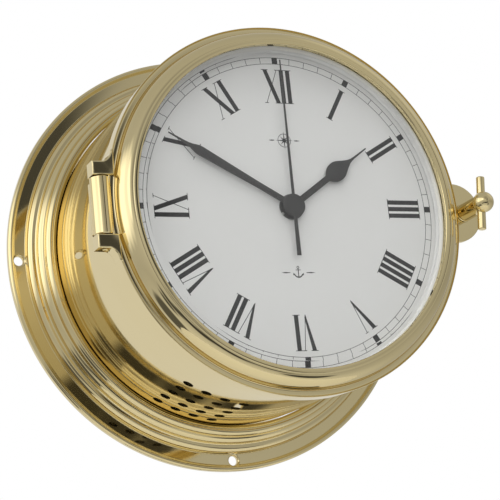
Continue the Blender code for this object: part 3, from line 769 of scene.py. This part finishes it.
# ------------------------------------------------------------------ bezel
@dataclass
class BezelRing:
    """The hinged ring with its knuckle arms and the clamp's ear.

    Attributes:
        radius: The ring's outside.
        back: The depth of its back edge.
        front: The depth of its front.
        opening: The radius of its opening.
        hinge_x: The hinge axis's place.
        hinge_depth: The hinge axis's depth.
        knuckle: Half the width of the end knuckles.
        knuckle_span: Where the end knuckles run from and to.
        ear_x: The centre of the ear's round end.
        ear_radius: The radius of the ear's round end.
        ear_front: The depth of the ear's front face.
        screw_x: The clamp screw's place.
    """

    radius: float = 86.3
    back: float = 88.2
    front: float = 103.5
    opening: float = 75.0
    hinge_x: float = -88.1
    hinge_depth: float = 92.0
    knuckle: float = 4.5
    knuckle_span: Point = (13.1, 19.3)
    ear_x: float = 87.3
    ear_radius: float = 14.3
    ear_front: float = 91.2
    screw_x: float = 92.45

    def section(self) -> list[Point]:
        """Return the ring's section: lip, round band, groove, edge, and the bore for glass and spigot."""
        lip = [(self.opening, 101.2), (self.opening, 103.0)]
        lip += arc((self.opening + 0.5, 103.0), (0.5, 0.5), 180, 90, 4)
        lip += [(76.4, self.front), (77.0, 103.42), (77.3, 103.2)]
        band = arc((76.6, 95.6), (6.5, 7.8), 80, 0, 28)
        groove = arc((83.9, 95.3), (0.8, 0.6), 180, 270, 5) + [(84.9, 94.7)]
        groove += arc((85.4, 95.2), (0.5, 0.5), -90, 0, 3)
        edge = [(85.9, 95.45)] + arc((86.0, 95.4), (0.3, 0.3), 90, 0, 3)
        edge += [(self.radius, self.back + 0.4), (self.radius - 0.4, self.back)]
        bore = [(82.3, self.back), (82.3, 94.4), (79.6, 94.4), (79.6, 96.4), (78.4, 96.4), (78.4, 101.2)]
        return lip + band + groove + edge + bore

    def ear_outline(self) -> list[Point]:
        """Return the ear's outline: a D that flows into the ring above and meets it squarely below."""
        top = arc((87.6, 19.9), (5.4, 5.4), 190, 268, 8)
        round_end = arc((self.ear_x, 0.0), (self.ear_radius, self.ear_radius), 88, -96, 30)
        foot = [(84.6, -14.6), (83.4, -15.2)]
        return [(83.2, 19.4)] + top + round_end + foot + [(83.2, 0.0)]

    def arm_outline(self, side: int) -> list[Point]:
        """Return the outline of a knuckle's arm, with its fillet into the ring.

        Args:
            side: 1 for the upper arm, -1 for the lower.
        """
        low, high = self.knuckle_span
        fillet = arc((self.hinge_x - 0.2, high + 6.0), (5.0, 6.0), -78, -8, 8)
        left = self.hinge_x - self.knuckle + 0.2
        points = [(-82.6, low), (left, low), (left, high)] + fillet + [(-82.0, high + 6.2)]
        return [(x, z * side) for x, z in points]

    def build(self, bench: Bench) -> None:
        """Build and place the bezel.

        Args:
            bench: Where pieces are finished.
        """
        ring = turned(self.section(), 288)
        ear = carved(slab(self.ear_outline(), self.back + 0.1, self.ear_front, 0.35),
                     rod(SCREW_BORE, 80, 100, at=(self.screw_x, 0.0)))
        bore = rod(PIN_BORE, -30, 30, 32, Axis.UP, (self.hinge_x, self.hinge_depth))
        parts = [ring, ear]
        for side in (1, -1):
            arm = slab(self.arm_outline(side), self.back + 0.2, self.hinge_depth + self.knuckle - 0.2, 0.7)
            parts.append(carved(arm, bore.copy()))
        bore.free()
        bench.place("shown_bezel", gathered(parts), SPUN_BRASS, Body.BEZEL, ["bezel"], level=True)


@dataclass
class Glazing:
    """The bevelled glass with its gasket and retaining ring.

    Attributes:
        radius: The glass's radius.
        back: The depth of its back face.
        bevel_from: The radius where the bevel starts at the face.
        bevel_to: The radius where it ends at the rim.
    """

    radius: float = 78.0
    back: float = 98.9
    bevel_from: float = 71.5
    bevel_to: float = 76.6

    def build(self, bench: Bench) -> None:
        """Build and place the glazing.

        Args:
            bench: Where pieces are finished.
        """
        rim, face = self.back + 1.5, self.back + 3.4
        pane = [(0, self.back), (self.radius, self.back), (self.radius, rim), (self.bevel_to, rim)]
        pane += [(self.bevel_from, face), (0, face)]
        bench.place("shown_glass", turned(pane, 256), CLOCK_GLASS, Body.BEZEL, ["glass"], crease=8.0)
        gasket = [(75.8, 97.9), (78.0, 97.9), (78.0, 98.6), (75.8, 98.6)]
        bench.place("shown_glass_gasket", turned(gasket, 192), BLACK_RUBBER, Body.BEZEL, ["glass_gasket"])
        keeper = [(75.5, 96.7), (75.7, 96.5), (77.9, 96.5), (78.1, 96.7), (78.1, 97.6), (75.5, 97.6)]
        bench.place("shown_retaining_ring", turned(keeper, 192), SPUN_BRASS, Body.BEZEL,
                    ["glass_retaining_ring"])


@dataclass
class CaseHinge:
    """The leaf on the drum with the middle knuckle, and the pin with its domed ends.

    Attributes:
        x: The axis's place.
        depth: The axis's depth.
        knuckle: The knuckle's radius.
        half: Half the middle knuckle's length.
        leaf_half: Half the leaf's length.
        pin_half: Half the pin's length.
    """

    x: float = -88.1
    depth: float = 92.0
    knuckle: float = 4.5
    half: float = 12.8
    leaf_half: float = 11.5
    pin_half: float = 19.7

    def leaf(self) -> BMesh:
        """Return the leaf that joins the knuckle to the drum."""
        form = bmesh.new()
        step = 87.4
        half = self.leaf_half
        outline = [(-83.9, 79.0), (-83.9, step), (-87.2, step), (-87.2, 91.0), (-91.6, 91.0), (-91.6, 86.0)]
        outline += [(-87.6, 79.0)]
        face = form.faces.new([form.verts.new(Vector((x, -depth, -half)) * MM) for x, depth in outline])
        raised = bmesh.ops.extrude_face_region(form, geom=[face])["geom"]
        tops = [item for item in raised if isinstance(item, bmesh.types.BMVert)]
        bmesh.ops.translate(form, vec=(0.0, 0.0, 2 * half * MM), verts=tops)
        bmesh.ops.recalc_face_normals(form, faces=form.faces)
        bmesh.ops.bevel(form, geom=form.edges[:], offset=0.4 * MM, offset_type="OFFSET", segments=2,
                        profile=0.5, affect="EDGES", material=-1)
        return tidied(form)

    def build(self, bench: Bench) -> None:
        """Build and place the case's half of the hinge.

        Args:
            bench: Where pieces are finished.
        """
        half, radius, at = self.half, self.knuckle, (self.x, self.depth)
        barrel = [(0, -half), (radius - 0.3, -half), (radius, -half + 0.3)]
        barrel += [(radius, half - 0.3), (radius - 0.3, half), (0, half)]
        knuckle = carved(self.leaf(), turned(barrel, 64, Axis.UP, at), Boolean.WELD)
        knuckle = carved(carved(knuckle, drum_room()), rod(PIN_BORE, -30, 30, 32, Axis.UP, at))
        bench.place("shown_hinge_leaf", knuckle, CAST_BRASS, Body.CASE, ["hinge_leaf"], level=True)
        end = self.pin_half
        pin = [(0, -end), (0.9, -end + 0.1), (1.5, -end + 0.6), (1.5, end - 0.6), (0.9, end - 0.1), (0, end)]
        bench.place("shown_hinge_pin", turned(pin, 32, Axis.UP, at), CAST_BRASS, Body.CASE, ["hinge_pin"])


@dataclass
class Clamp:
    """The lug on the drum, the thrust washer, and the ball-headed clamp screw with its tommy bar.

    Attributes:
        x: The screw's place.
        ball: The ball's radius.
        ball_depth: The depth of the ball's centre.
        bar_depth: The depth of the tommy bar.
        bar_radius: The tommy bar's radius.
        bar_half: Half the tommy bar's length.
        bar_tilt: How far the bar leans to the right, in degrees.
    """

    x: float = 92.45
    ball: float = 4.9
    ball_depth: float = 108.9
    bar_depth: float = 107.0
    bar_radius: float = 1.95
    bar_half: float = 12.8
    bar_tilt: float = 6.7

    def bar(self, radius: float, half: float, soften: float) -> BMesh:
        """Return a bar across the screw.

        Args:
            radius: The bar's radius.
            half: Half its length.
            soften: The radius of its rounded ends.
        """
        ends = [(0, -half)] + arc((radius - soften, -half + soften), (soften, soften), -90, 0, 5)
        ends += arc((radius - soften, half - soften), (soften, soften), 0, 90, 5) + [(0, half)]
        form = turned(ends, 40, Axis.UP)
        swing(form, self.bar_tilt)
        bmesh.ops.translate(form, vec=Vector((self.x, -self.bar_depth, 0.0)) * MM, verts=form.verts)
        return form

    def lug(self) -> BMesh:
        """Return the boss on the drum that takes the screw's end."""
        boss = [(0, 74), (5.6, 74)] + arc((5.6, 75.4), (1.4, 1.4), -90, 0, 4)
        boss += [(7, 87.2), (6.6, 87.6), (3.6, 87.6), (3.3, 87.2), (3.3, 77), (0, 77)]
        foot = slab([(82, -6), (88.5, -6), (88.5, 6), (82, 6)], 75, 87.2, 0.5)
        welded = carved(turned(boss, 64, at=(self.x, 0.0)), foot, Boolean.WELD)
        return carved(carved(welded, rod(SCREW_BORE, 77, 95, at=(self.x, 0.0))), drum_room())

    def build(self, bench: Bench) -> None:
        """Build and place the clamp's pieces.

        Args:
            bench: Where pieces are finished.
        """
        bench.place("shown_catch_lug", self.lug(), CAST_BRASS, Body.CASE, ["catch_lug"], level=True)
        washer = [(3.2, 91.5), (4.4, 91.5), (4.4, 91.9), (4.2, 92.1), (3.4, 92.1), (3.2, 91.9)]
        bench.place("shown_thrust_washer", turned(washer, 64, at=(self.x, 0.0)), CAST_BRASS, Body.WASHER,
                    ["thrust_washer"])
        shank = [(0, 79.0), (1.9, 79.0), (2.2, 79.3), (2.8, 80.0), (2.8, 92.4)]
        shank += [(3.9, 92.4), (4.2, 92.7), (4.2, 106.4)]
        ball = arc((0, self.ball_depth), (self.ball, self.ball), -30, 90, 24)
        screw = turned(shank + ball[:-1] + [(0, self.ball_depth + self.ball)], 96, at=(self.x, 0.0))
        screw = carved(screw, self.bar(self.bar_radius + 0.15, 9.0, 0.1))
        bench.place("shown_clamp_screw", screw, CAST_BRASS, Body.SCREW, ["clamp_screw"])
        bar = self.bar(self.bar_radius, self.bar_half, 0.5)
        bench.place("shown_tommy_bar", bar, CAST_BRASS, Body.SCREW, ["tommy_bar"])


# ------------------------------------------------------------------ dial
@dataclass
class Numeral:
    """A Roman numeral in the thick and thin strokes of engraved dials.

    Attributes:
        text: The numeral's letters.
        hour: Where it stands on the dial.
        foot: The radius of its foot.
        height: Its height.
        thick: A thick stroke's width.
        thin: A hairline's width.
    """

    text: str
    hour: int
    foot: float = 49.4
    height: float = 16.3
    thick: float = 2.05
    thin: float = 0.3

    def letter(self, kind: str) -> list[list[Point]]:
        """Return a letter's strokes and serifs round its own centre.

        Args:
            kind: I, V or X.

        Returns:
            An outline for each stroke.
        """
        top, wide, fine = self.height, self.thick / 2, self.thin / 2

        def serif(left: float, right: float, foot: bool) -> list[Point]:
            """Return a hairline across the letter's foot or top."""
            low = 0.0 if foot else top - self.thin
            return [(left, low), (right, low), (right, low + self.thin), (left, low + self.thin)]

        if kind == "I":
            stem = [(-wide, 0), (wide, 0), (wide, top), (-wide, top)]
            return [stem, serif(-1.75, 1.75, True), serif(-1.75, 1.75, False)]
        if kind == "V":
            stem = [(-2.35 - wide, top), (0.45, 0.0), (0.75, 0.0), (1.05, 1.4), (-2.35 + wide, top)]
            line = [(0.45, 0.0), (0.75, 0.0), (2.35 + fine, top), (2.35 - fine, top)]
            return [stem, line, serif(-4.1, -0.6, False), serif(1.5, 3.3, False)]
        stem = [(2.8 - wide, 0), (2.8 + wide, 0), (-2.8 + wide, top), (-2.8 - wide, top)]
        line = [(-3.2 - fine, 0), (-3.2 + fine, 0), (3.2 + fine, top), (3.2 - fine, top)]
        feet = [serif(-4.1, -2.2, True), serif(1.1, 4.5, True)]
        return [stem, line, *feet, serif(-4.5, -1.1, False), serif(2.2, 4.1, False)]

    def outlines(self) -> list[list[Point]]:
        """Return the numeral's outlines in their place on the dial."""
        half = {"I": 1.0, "V": 3.2, "X": 3.9}
        step = {"II": 3.15, "XI": 5.45, "IX": 5.45, "VI": 5.1}
        places = [0.0]
        for pair in zip(self.text, self.text[1:]):
            places.append(places[-1] + step["".join(pair)])
        shift = (places[0] - half[self.text[0]] + places[-1] + half[self.text[-1]]) / 2
        cos, sin = around(1.0, 30 * self.hour)
        found = []
        for letter, place in zip(self.text, places):
            for stroke in self.letter(letter):
                flat = [(x + place - shift, z + self.foot) for x, z in stroke]
                found.append([(x * cos + z * sin, z * cos - x * sin) for x, z in flat])
        return found


@dataclass
class Dial:
    """The dial with its printing, the pale ring round it, and the nut in its middle.

    Attributes:
        depth: The depth of the dial's face.
        radius: The dial plate's radius.
        ink: The printed layer's thickness, drawn thicker than real ink so that it can't flicker.
        track: The minute track's inner and outer circles.
        hairline: The track's line width.
        block: Half the width of a five-minute block.
    """

    depth: float = 94.0
    radius: float = 80.2
    ink: float = 0.03
    track: Point = (68.5, 71.5)
    hairline: float = 0.22
    block: float = 1.35

    def ring(self, inner: float, outer: float, centre: Point = (0.0, 0.0), steps: int = 256) -> BMesh:
        """Return a printed ring between two radii round a centre."""
        low, high = self.depth, self.depth + self.ink
        return turned([(inner, low), (outer, low), (outer, high), (inner, high)], steps, at=centre)

    def mark(self, outline: Sequence[Point], centre: Point = (0.0, 0.0)) -> BMesh:
        """Return a printed shape with its outline round a centre."""
        shifted = [(centre[0] + x, centre[1] + z) for x, z in outline]
        return slab(shifted, self.depth, self.depth + self.ink)

    def flourish(self, side: int, root: Point, belly: Point, tip: float) -> list[Point]:
        """Return the outline of a dash that swells, then tapers, to the right (side 1) or left (-1)."""
        edge = [root, belly, (tip, 0.0)]
        return [(side * x, -z) for x, z in edge] + [(side * x, z) for x, z in (belly, root)]

    def minute_track(self) -> list[BMesh]:
        """Return the two circles, the minute marks and the five-minute blocks."""
        inner, outer = self.track
        forms = [self.ring(edge - self.hairline / 2, edge + self.hairline / 2) for edge in self.track]
        for minute in range(60):
            half = self.block if minute % 5 == 0 else self.hairline / 2
            form = self.mark([(-half, inner), (half, inner), (half, outer), (-half, outer)])
            swing(form, 6 * minute)
            forms.append(form)
        return forms

    def compass_star(self, centre: Point) -> list[BMesh]:
        """Return a small eight-pointed star in a ring, with a flourish on each side.

        Args:
            centre: The star's centre.
        """
        reaches = [4.4, 0.8, 2.7, 0.8] * 4
        star = [around(reach, 90 - 22.5 * number) for number, reach in enumerate(reaches)]
        forms = [self.mark(star, centre), self.ring(3.0, 3.25, centre, 64)]
        tails = [self.flourish(side, (4.9, 0.16), (6.2, 0.3), 7.8) for side in (-1, 1)]
        return forms + [self.mark(tail, centre) for tail in tails]

    def anchor(self, centre: Point) -> list[BMesh]:
        """Return a small plain anchor between two flourishes.

        Args:
            centre: The anchor's centre.
        """
        shank = [(-0.2, -2.2), (0.2, -2.2), (0.2, 1.9), (-0.2, 1.9)]
        stock = [(-1.2, 1.1), (1.2, 1.1), (1.2, 1.4), (-1.2, 1.4)]
        arms = arc((0, 0.3), (2.4, 2.7), 205, 335, 14) + arc((0, 0.6), (2.1, 2.4), 335, 205, 14)
        flukes = [[(s * 2.55, -0.1), (s * 1.55, -0.95), (s * 2.6, -1.2)] for s in (-1, 1)]
        tails = [self.flourish(side, (4.0, 0.14), (6.4, 0.28), 8.4) for side in (-1, 1)]
        forms = [self.mark(shape, centre) for shape in [shank, stock, arms, *flukes, *tails]]
        return forms + [self.ring(0.35, 0.65, (centre[0], centre[1] + 2.4), 32)]

    def build(self, bench: Bench) -> None:
        """Build and place the dial's pieces.

        Args:
            bench: Where pieces are finished.
        """
        plate = [(4.3, 93.0), (self.radius, 93.0), (self.radius, self.depth), (4.3, self.depth)]
        bench.place("shown_dial_plate", turned(plate, 192), DIAL_ENAMEL, Body.CASE, ["dial_plate"])
        forms = self.minute_track() + self.compass_star((0.4, 31.6)) + self.anchor((0.0, -30.2))
        letters = ["XII", "I", "II", "III", "IIII", "V", "VI", "VII", "VIII", "IX", "X", "XI"]
        for hour, text in enumerate(letters):
            forms += [self.mark(outline) for outline in Numeral(text, hour).outlines()]
        bench.place("dial_printing", gathered(forms), PRINT_INK, Body.CASE)
        ring = [(73.6, 94.3), (79.2, 94.3), (79.2, 95.9), (75.4, 95.9), (75.0, 95.8), (73.6, 94.7)]
        bench.place("shown_dial_ring", turned(ring, 256), RING_PLASTIC, Body.CASE, ["dial_ring"])
        nut = [(4.25, 94.3), (5.85, 94.3), (5.85, 95.2), (5.65, 95.4), (4.4, 95.4), (4.25, 95.2)]
        form = turned(nut, 96)
        for angle in (34, 214):
            slot = slab([(4.9, -0.6), (7.0, -0.6), (7.0, 0.6), (4.9, 0.6)], 94.0, 96.0)
            swing(slot, -angle)
            form = carved(form, slot)
        bench.place("shown_dial_nut", form, HAND_ENAMEL, Body.CASE, ["dial_nut"])


@dataclass
class Hand:
    """A flat hand with a round hub.

    Attributes:
        name: The hand's node.
        body: The body it rides on.
        side: (half width, distance from the centre) points of its right side.
        low: The depth of its back.
        high: The depth of its front.
        angle: Its direction, in degrees clockwise from 12 o'clock.
        hub: The hub's radius.
        bore: The radius of the hub's bore, or 0 where it is solid.
        hub_low: The depth of the hub's back.
    """

    name: str
    body: Body
    side: Sequence[Point]
    low: float
    high: float
    angle: float
    hub: float
    bore: float
    hub_low: float

    def build(self, bench: Bench) -> None:
        """Build and place the hand.

        Args:
            bench: Where pieces are finished.
        """
        outline = [(w, r) for w, r in self.side] + [(-w, r) for w, r in reversed(self.side)]
        blade = slab(outline, self.low, self.high, 0.06)
        swing(blade, self.angle)
        low, high = self.hub_low, self.high + 0.02
        rim = [(self.hub, low), (self.hub, high - 0.1), (self.hub - 0.1, high)]
        form = carved(blade, turned([(self.bore, low), *rim, (self.bore, high)], 96), Boolean.WELD)
        if self.bore:
            form = carved(form, rod(self.bore, 80, 110, 64))
        bench.place("shown_" + self.name, form, HAND_ENAMEL, self.body, [self.name])


HANDS = (
    Hand("hour_hand", Body.HOUR,
         [(1.5, 0.0), (1.5, 23.2), (2.2, 24.0), (3.1, 24.9), (3.9, 26.1), (4.4, 27.6), (4.6, 29.2),
          (4.5, 30.6), (4.1, 31.9), (3.4, 33.3), (2.7, 34.5), (2.1, 35.6), (1.5, 36.8), (1.0, 38.0),
          (0.65, 39.4), (0.5, 41.5), (0.3, 49.5)], 95.9, 96.3, 55.0, 4.4, 2.9, 95.9),
    Hand("minute_hand", Body.MINUTE,
         [(1.4, 0.0), (1.5, 20.0), (2.1, 42.0), (2.3, 48.5), (2.15, 50.2), (1.7, 51.8), (1.15, 53.4),
          (0.75, 55.2), (0.55, 57.2), (0.25, 65.5)], 96.6, 97.0, 300.0, 4.0, 2.0, 96.6),
    Hand("seconds_hand", Body.SECONDS,
         [(1.05, -23.2), (0.75, 0.0), (0.3, 69.3)], 97.5, 97.8, 0.8, 5.35, 0.0, 97.4),
)


# ------------------------------------------------------------------ works
@dataclass
class Works:
    """The movement and the strike: the frame's own pieces, each in its finish.

    Attributes:
        finishes: The finish of each node.
    """

    finishes: dict[Finish, Sequence[str]] = field(default_factory=lambda: {
        ACETAL: ("rotor", "intermediate_wheel", "seconds_wheel", "third_wheel", "motion_wheel", "gear_plate",
                 "coil_bobbin"),
        WHEEL_BRASS: ("centre_wheel", "cannon_pinion", "hour_wheel"),
        BLACK_ABS: ("setting_knob", "movement_case", "movement_front_plate", "battery_tray", "strike_chip",
                    "mode_switch_knob"),
        ZINC_STEEL: ("stator", "coil_core", "quartz_can", "battery_contact_positive",
                     "battery_contact_negative", "speaker_frame", "mode_switch_body"),
        WOUND_COPPER: ("coil_winding",),
        SOLDER_MASK: ("circuit_board", "strike_board"),
        CELL_JACKET: ("battery",),
        CAPACITOR_SLEEVE: ("strike_capacitor",),
        SINTERED_FERRITE: ("speaker_magnet",),
        CONE_PAPER: ("speaker_cone",),
        BLACK_RUBBER: ("speaker_gasket", "speaker_lead", "power_lead"),
    })

    def build(self, bench: Bench) -> None:
        """Dress each node.

        Args:
            bench: Where pieces are finished.
        """
        for finish, nodes in self.finishes.items():
            for node in nodes:
                bench.dress(node, finish)


# ------------------------------------------------------------------ studio
def bearing(azimuth: float, elevation: float) -> Vector:
    """Return a direction from the clock: degrees right of straight ahead and above the horizon."""
    turn, rise = math.radians(azimuth), math.radians(elevation)
    return Vector((math.sin(turn) * math.cos(rise), -math.cos(turn) * math.cos(rise), math.sin(rise)))


@dataclass(frozen=True)
class Fitting:
    """Something flat that faces the clock in the studio.

    Attributes:
        name: Its name.
        azimuth: Degrees to the right of straight ahead.
        elevation: Degrees above the horizon.
        distance: How far off it is, in metres.
        size: Its width and height, in metres.
    """

    name: str
    azimuth: float
    elevation: float
    distance: float
    size: Point

    @property
    def direction(self) -> Vector:
        """Return its direction from the clock."""
        return bearing(self.azimuth, self.elevation)


@dataclass(frozen=True)
class Softbox(Fitting):
    """A rectangular studio lamp.

    Attributes:
        power: Its power, in watts.
        mirrored: Whether polished metal shows it.
    """

    power: float
    mirrored: bool = True

    def build(self) -> None:
        """Put the lamp up, pointing at the clock."""
        lamp = bpy.data.lights.new(self.name, "AREA")
        lamp.shape = "RECTANGLE"
        lamp.size, lamp.size_y = self.size
        lamp.energy = self.power
        holder = bpy.data.objects.new(self.name, lamp)
        holder.location = self.direction * self.distance + Vector(CLOCK_MIDDLE)
        holder.rotation_euler = (-self.direction).to_track_quat("-Z", "Y").to_euler()
        holder.visible_glossy = self.mirrored
        bpy.context.scene.collection.objects.link(holder)


# The middle of the clock's depth, in metres, which the lamps stand round.
CLOCK_MIDDLE = (0.0, -0.05, 0.0)
SOFTBOXES = (
    Softbox("key_light", -18.0, 14.0, 1.7, (1.8, 1.4), 6.4, mirrored=False),
    Softbox("floor_light", -20.0, 78.0, 1.6, (1.6, 1.6), 20.0, mirrored=False),
)


@dataclass(frozen=True)
class Flag(Fitting):
    """A black card that polished metal shows as a dark band."""

    def build(self) -> None:
        """Hang the card, facing the clock."""
        form = bmesh.new()
        bmesh.ops.create_grid(form, x_segments=1, y_segments=1, size=0.5)
        bmesh.ops.scale(form, vec=(*self.size, 1.0), verts=form.verts)
        turn = self.direction.to_track_quat("-Z", "Y").to_matrix().to_4x4()
        place = Matrix.Translation(self.direction * self.distance) @ turn
        bmesh.ops.transform(form, matrix=place, verts=form.verts)
        card = shell(self.name, form)
        # Black felt on card: swallows light, so that metal shows it as a soft dark band.
        felt = Finish("black_felt", "", "#0B0B0B", "#101010", 0.95, grain=0.6, relief=0.05, patch=60.0)
        card.data.materials.append(felt.build())


FLAGS = (Flag("rear_flag", 170.0, -66.0, 0.5, (0.42, 0.085)),)


@dataclass(frozen=True)
class Area:
    """A soft-edged area of the room's walls, paler or darker than the rest.

    Attributes:
        azimuth: Degrees to the right of straight ahead.
        elevation: Degrees above the horizon.
        inner: The angle from its centre where it starts to fade, in degrees.
        outer: The angle where it has faded out, in degrees.
        tone: Its brightness.
    """

    azimuth: float
    elevation: float
    inner: float
    outer: float
    tone: float


AREAS = (
    Area(180.0, 0.0, 25.0, 65.0, 0.72),
    Area(-100.0, 17.0, 5.0, 26.0, 1.5),
    Area(-78.0, 18.0, 5.0, 26.0, 1.5),
    Area(-55.0, 20.0, 4.0, 24.0, 1.2),
    Area(-37.0, 20.0, 3.0, 14.0, 1.5),
    Area(84.0, 40.0, 10.0, 26.0, 0.6),
    Area(4.0, 30.0, 6.0, 26.0, 0.32),
    Area(17.3, 15.6, 3.4, 5.8, 0.06),
    Area(11.0, 6.0, 4.0, 8.0, 0.06),
    Area(-42.0, -26.0, 3.0, 8.0, 0.06),
    Area(-26.0, -19.0, 4.0, 9.0, 0.06),
    Area(-11.0, -20.0, 5.0, 10.0, 0.05),
    Area(3.0, -19.0, 5.0, 10.0, 0.05),
    Area(17.0, -15.0, 4.0, 9.0, 0.05),
    Area(28.0, -33.0, 5.0, 10.0, 0.05),
    Area(-101.0, -41.0, 8.0, 15.0, 0.10),
    Area(-88.0, -41.0, 9.0, 16.0, 0.10),
    Area(-75.0, -41.0, 8.0, 15.0, 0.10),
)
# Pairs of height, from -1 straight down to 1 straight up, and brightness.
LEFT_WALL = ((-1.0, 0.66), (-0.71, 0.62), (-0.5, 0.5), (-0.26, 0.44), (0.0, 0.5), (0.2, 0.6), (0.45, 0.62),
             (0.6, 0.5), (0.8, 0.46), (1.0, 0.44))
RIGHT_WALL = ((-1.0, 0.66), (-0.71, 0.57), (-0.5, 0.46), (-0.2, 0.4), (0.0, 0.34), (0.25, 0.44), (0.7, 0.46),
              (1.0, 0.4))
# Where the left wall starts to turn into the right one and where it has, as shares of the way right.
WALL_TURN = (-0.1, 0.7)
WHITE = (1.0, 1.0, 1.0, 1.0)


@dataclass
class Studio:
    """The camera, the floor, the lamps and the bright surroundings.

    Attributes:
        eye: The camera's place, in metres.
        right: The camera's right.
        up: The camera's up.
        lens: Its focal length, in millimetres.
        sensor: The width of its frame, in millimetres.
        clip: The nearest and farthest things it sees, in metres.
        floor_height: The floor's height, in metres.
        floor_radius: How far the floor reaches, in metres.
    """

    eye: tuple[float, float, float] = (-0.31683, -0.73243, -0.19628)
    right: tuple[float, float, float] = (0.91345, -0.39361, -0.10334)
    up: tuple[float, float, float] = (-0.00496, -0.26468, 0.96432)
    lens: float = 118.54
    sensor: float = 36.0
    clip: Point = (0.01, 50.0)
    floor_height: float = -1.0
    floor_radius: float = 0.9

    def camera(self) -> None:
        """Set the camera up."""
        data = bpy.data.cameras.new("studio_camera")
        data.lens, data.sensor_width = self.lens, self.sensor
        data.clip_start, data.clip_end = self.clip
        holder = bpy.data.objects.new("studio_camera", data)
        right, up = Vector(self.right).normalized(), Vector(self.up).normalized()
        back = right.cross(up).normalized()
        up = back.cross(right)
        turn = Matrix((right, up, back)).transposed().to_4x4()
        holder.matrix_world = Matrix.Translation(self.eye) @ turn
        bpy.context.scene.collection.objects.link(holder)
        bpy.context.scene.camera = holder

    def floor(self) -> None:
        """Lay the pale floor."""
        form = bmesh.new()
        bmesh.ops.create_circle(form, cap_ends=True, segments=96, radius=self.floor_radius)
        bmesh.ops.translate(form, vec=(0.0, 0.0, self.floor_height), verts=form.verts)
        ground = shell("studio_floor", form)
        # Seamless studio paper: white, matt, faintly fibrous.
        paper = Finish("studio_paper", "", "#EFEEEB", "#EAE9E6", 0.9, grain=6.0, relief=0.05, patch=300.0)
        ground.data.materials.append(paper.build())

    def wall(self, nodes: Nodes, height: Socket, tones: Sequence[Point]) -> Socket:
        """Shade a wall by its height.

        Args:
            nodes: The world's nodes.
            height: The direction's height, from -1 straight down to 1 straight up.
            tones: Pairs of height and brightness.

        Returns:
            The wall's brightness.
        """
        along = nodes.add("MapRange", {"Value": height, "From Min": -1.0, "From Max": 1.0})
        ramp = nodes.add("ValToRGB", {"Fac": along.outputs["Result"]})
        stops = ramp.color_ramp.elements
        while len(stops) < len(tones):
            stops.new(1.0)
        for stop, (level, tone) in zip(stops, tones):
            stop.position = level / 2 + 0.5
            stop.color = (tone, tone, tone, 1.0)
        return ramp.outputs["Color"]

    def surroundings(self) -> None:
        """Light the room: white to the eye, with paler and darker walls where metal reflects them."""
        world = bpy.data.worlds.new("studio_room")
        world.use_nodes = True
        world.node_tree.nodes.clear()
        nodes = Nodes(world.node_tree)
        direction = nodes.add("TexCoord").outputs["Generated"]
        parts = nodes.add("SeparateXYZ", {"Vector": direction}).outputs
        limits = {"Value": parts["X"], "From Min": WALL_TURN[0], "From Max": WALL_TURN[1]}
        side = nodes.add("MapRange", limits, interpolation_type="SMOOTHSTEP")
        walls = [self.wall(nodes, parts["Z"], tones) for tones in (LEFT_WALL, RIGHT_WALL)]
        tone = nodes.mix(side.outputs["Result"], *walls)
        for area in AREAS:
            near = nodes.vectors("DOT_PRODUCT", direction, bearing(area.azimuth, area.elevation))
            limits = {"Value": near, "From Min": math.cos(math.radians(area.outer)),
                      "From Max": math.cos(math.radians(area.inner))}
            share = nodes.add("MapRange", limits, interpolation_type="SMOOTHSTEP").outputs["Result"]
            tone = nodes.mix(share, tone, (area.tone, area.tone, area.tone, 1.0))
        room = nodes.add("Background", {"Color": tone}).outputs[0]
        sheet = nodes.add("Background", {"Color": WHITE}).outputs[0]
        seen = nodes.add("LightPath").outputs["Is Camera Ray"]
        mixed = nodes.add("MixShader", {0: seen, 1: room, 2: sheet})
        nodes.add("OutputWorld", {"Surface": mixed.outputs[0]})
        bpy.context.scene.world = world

    def build(self) -> None:
        """Build the studio."""
        self.camera()
        self.floor()
        self.surroundings()
        for fitting in (*SOFTBOXES, *FLAGS):
            fitting.build()
        bpy.context.scene.view_settings.view_transform = "Standard"


def main() -> None:
    """Build the clock round its frame, and the studio round the clock."""
    logging.basicConfig(level=logging.INFO, format="%(message)s")
    bench = Bench(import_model())
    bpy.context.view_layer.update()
    Studio().build()
    for part in (Case(), BezelRing(), Glazing(), CaseHinge(), Clamp(), Dial(), *HANDS, Works()):
        part.build(bench)
        LOG.info("%s done", type(part).__name__)


if __name__ == "__main__":
    main()
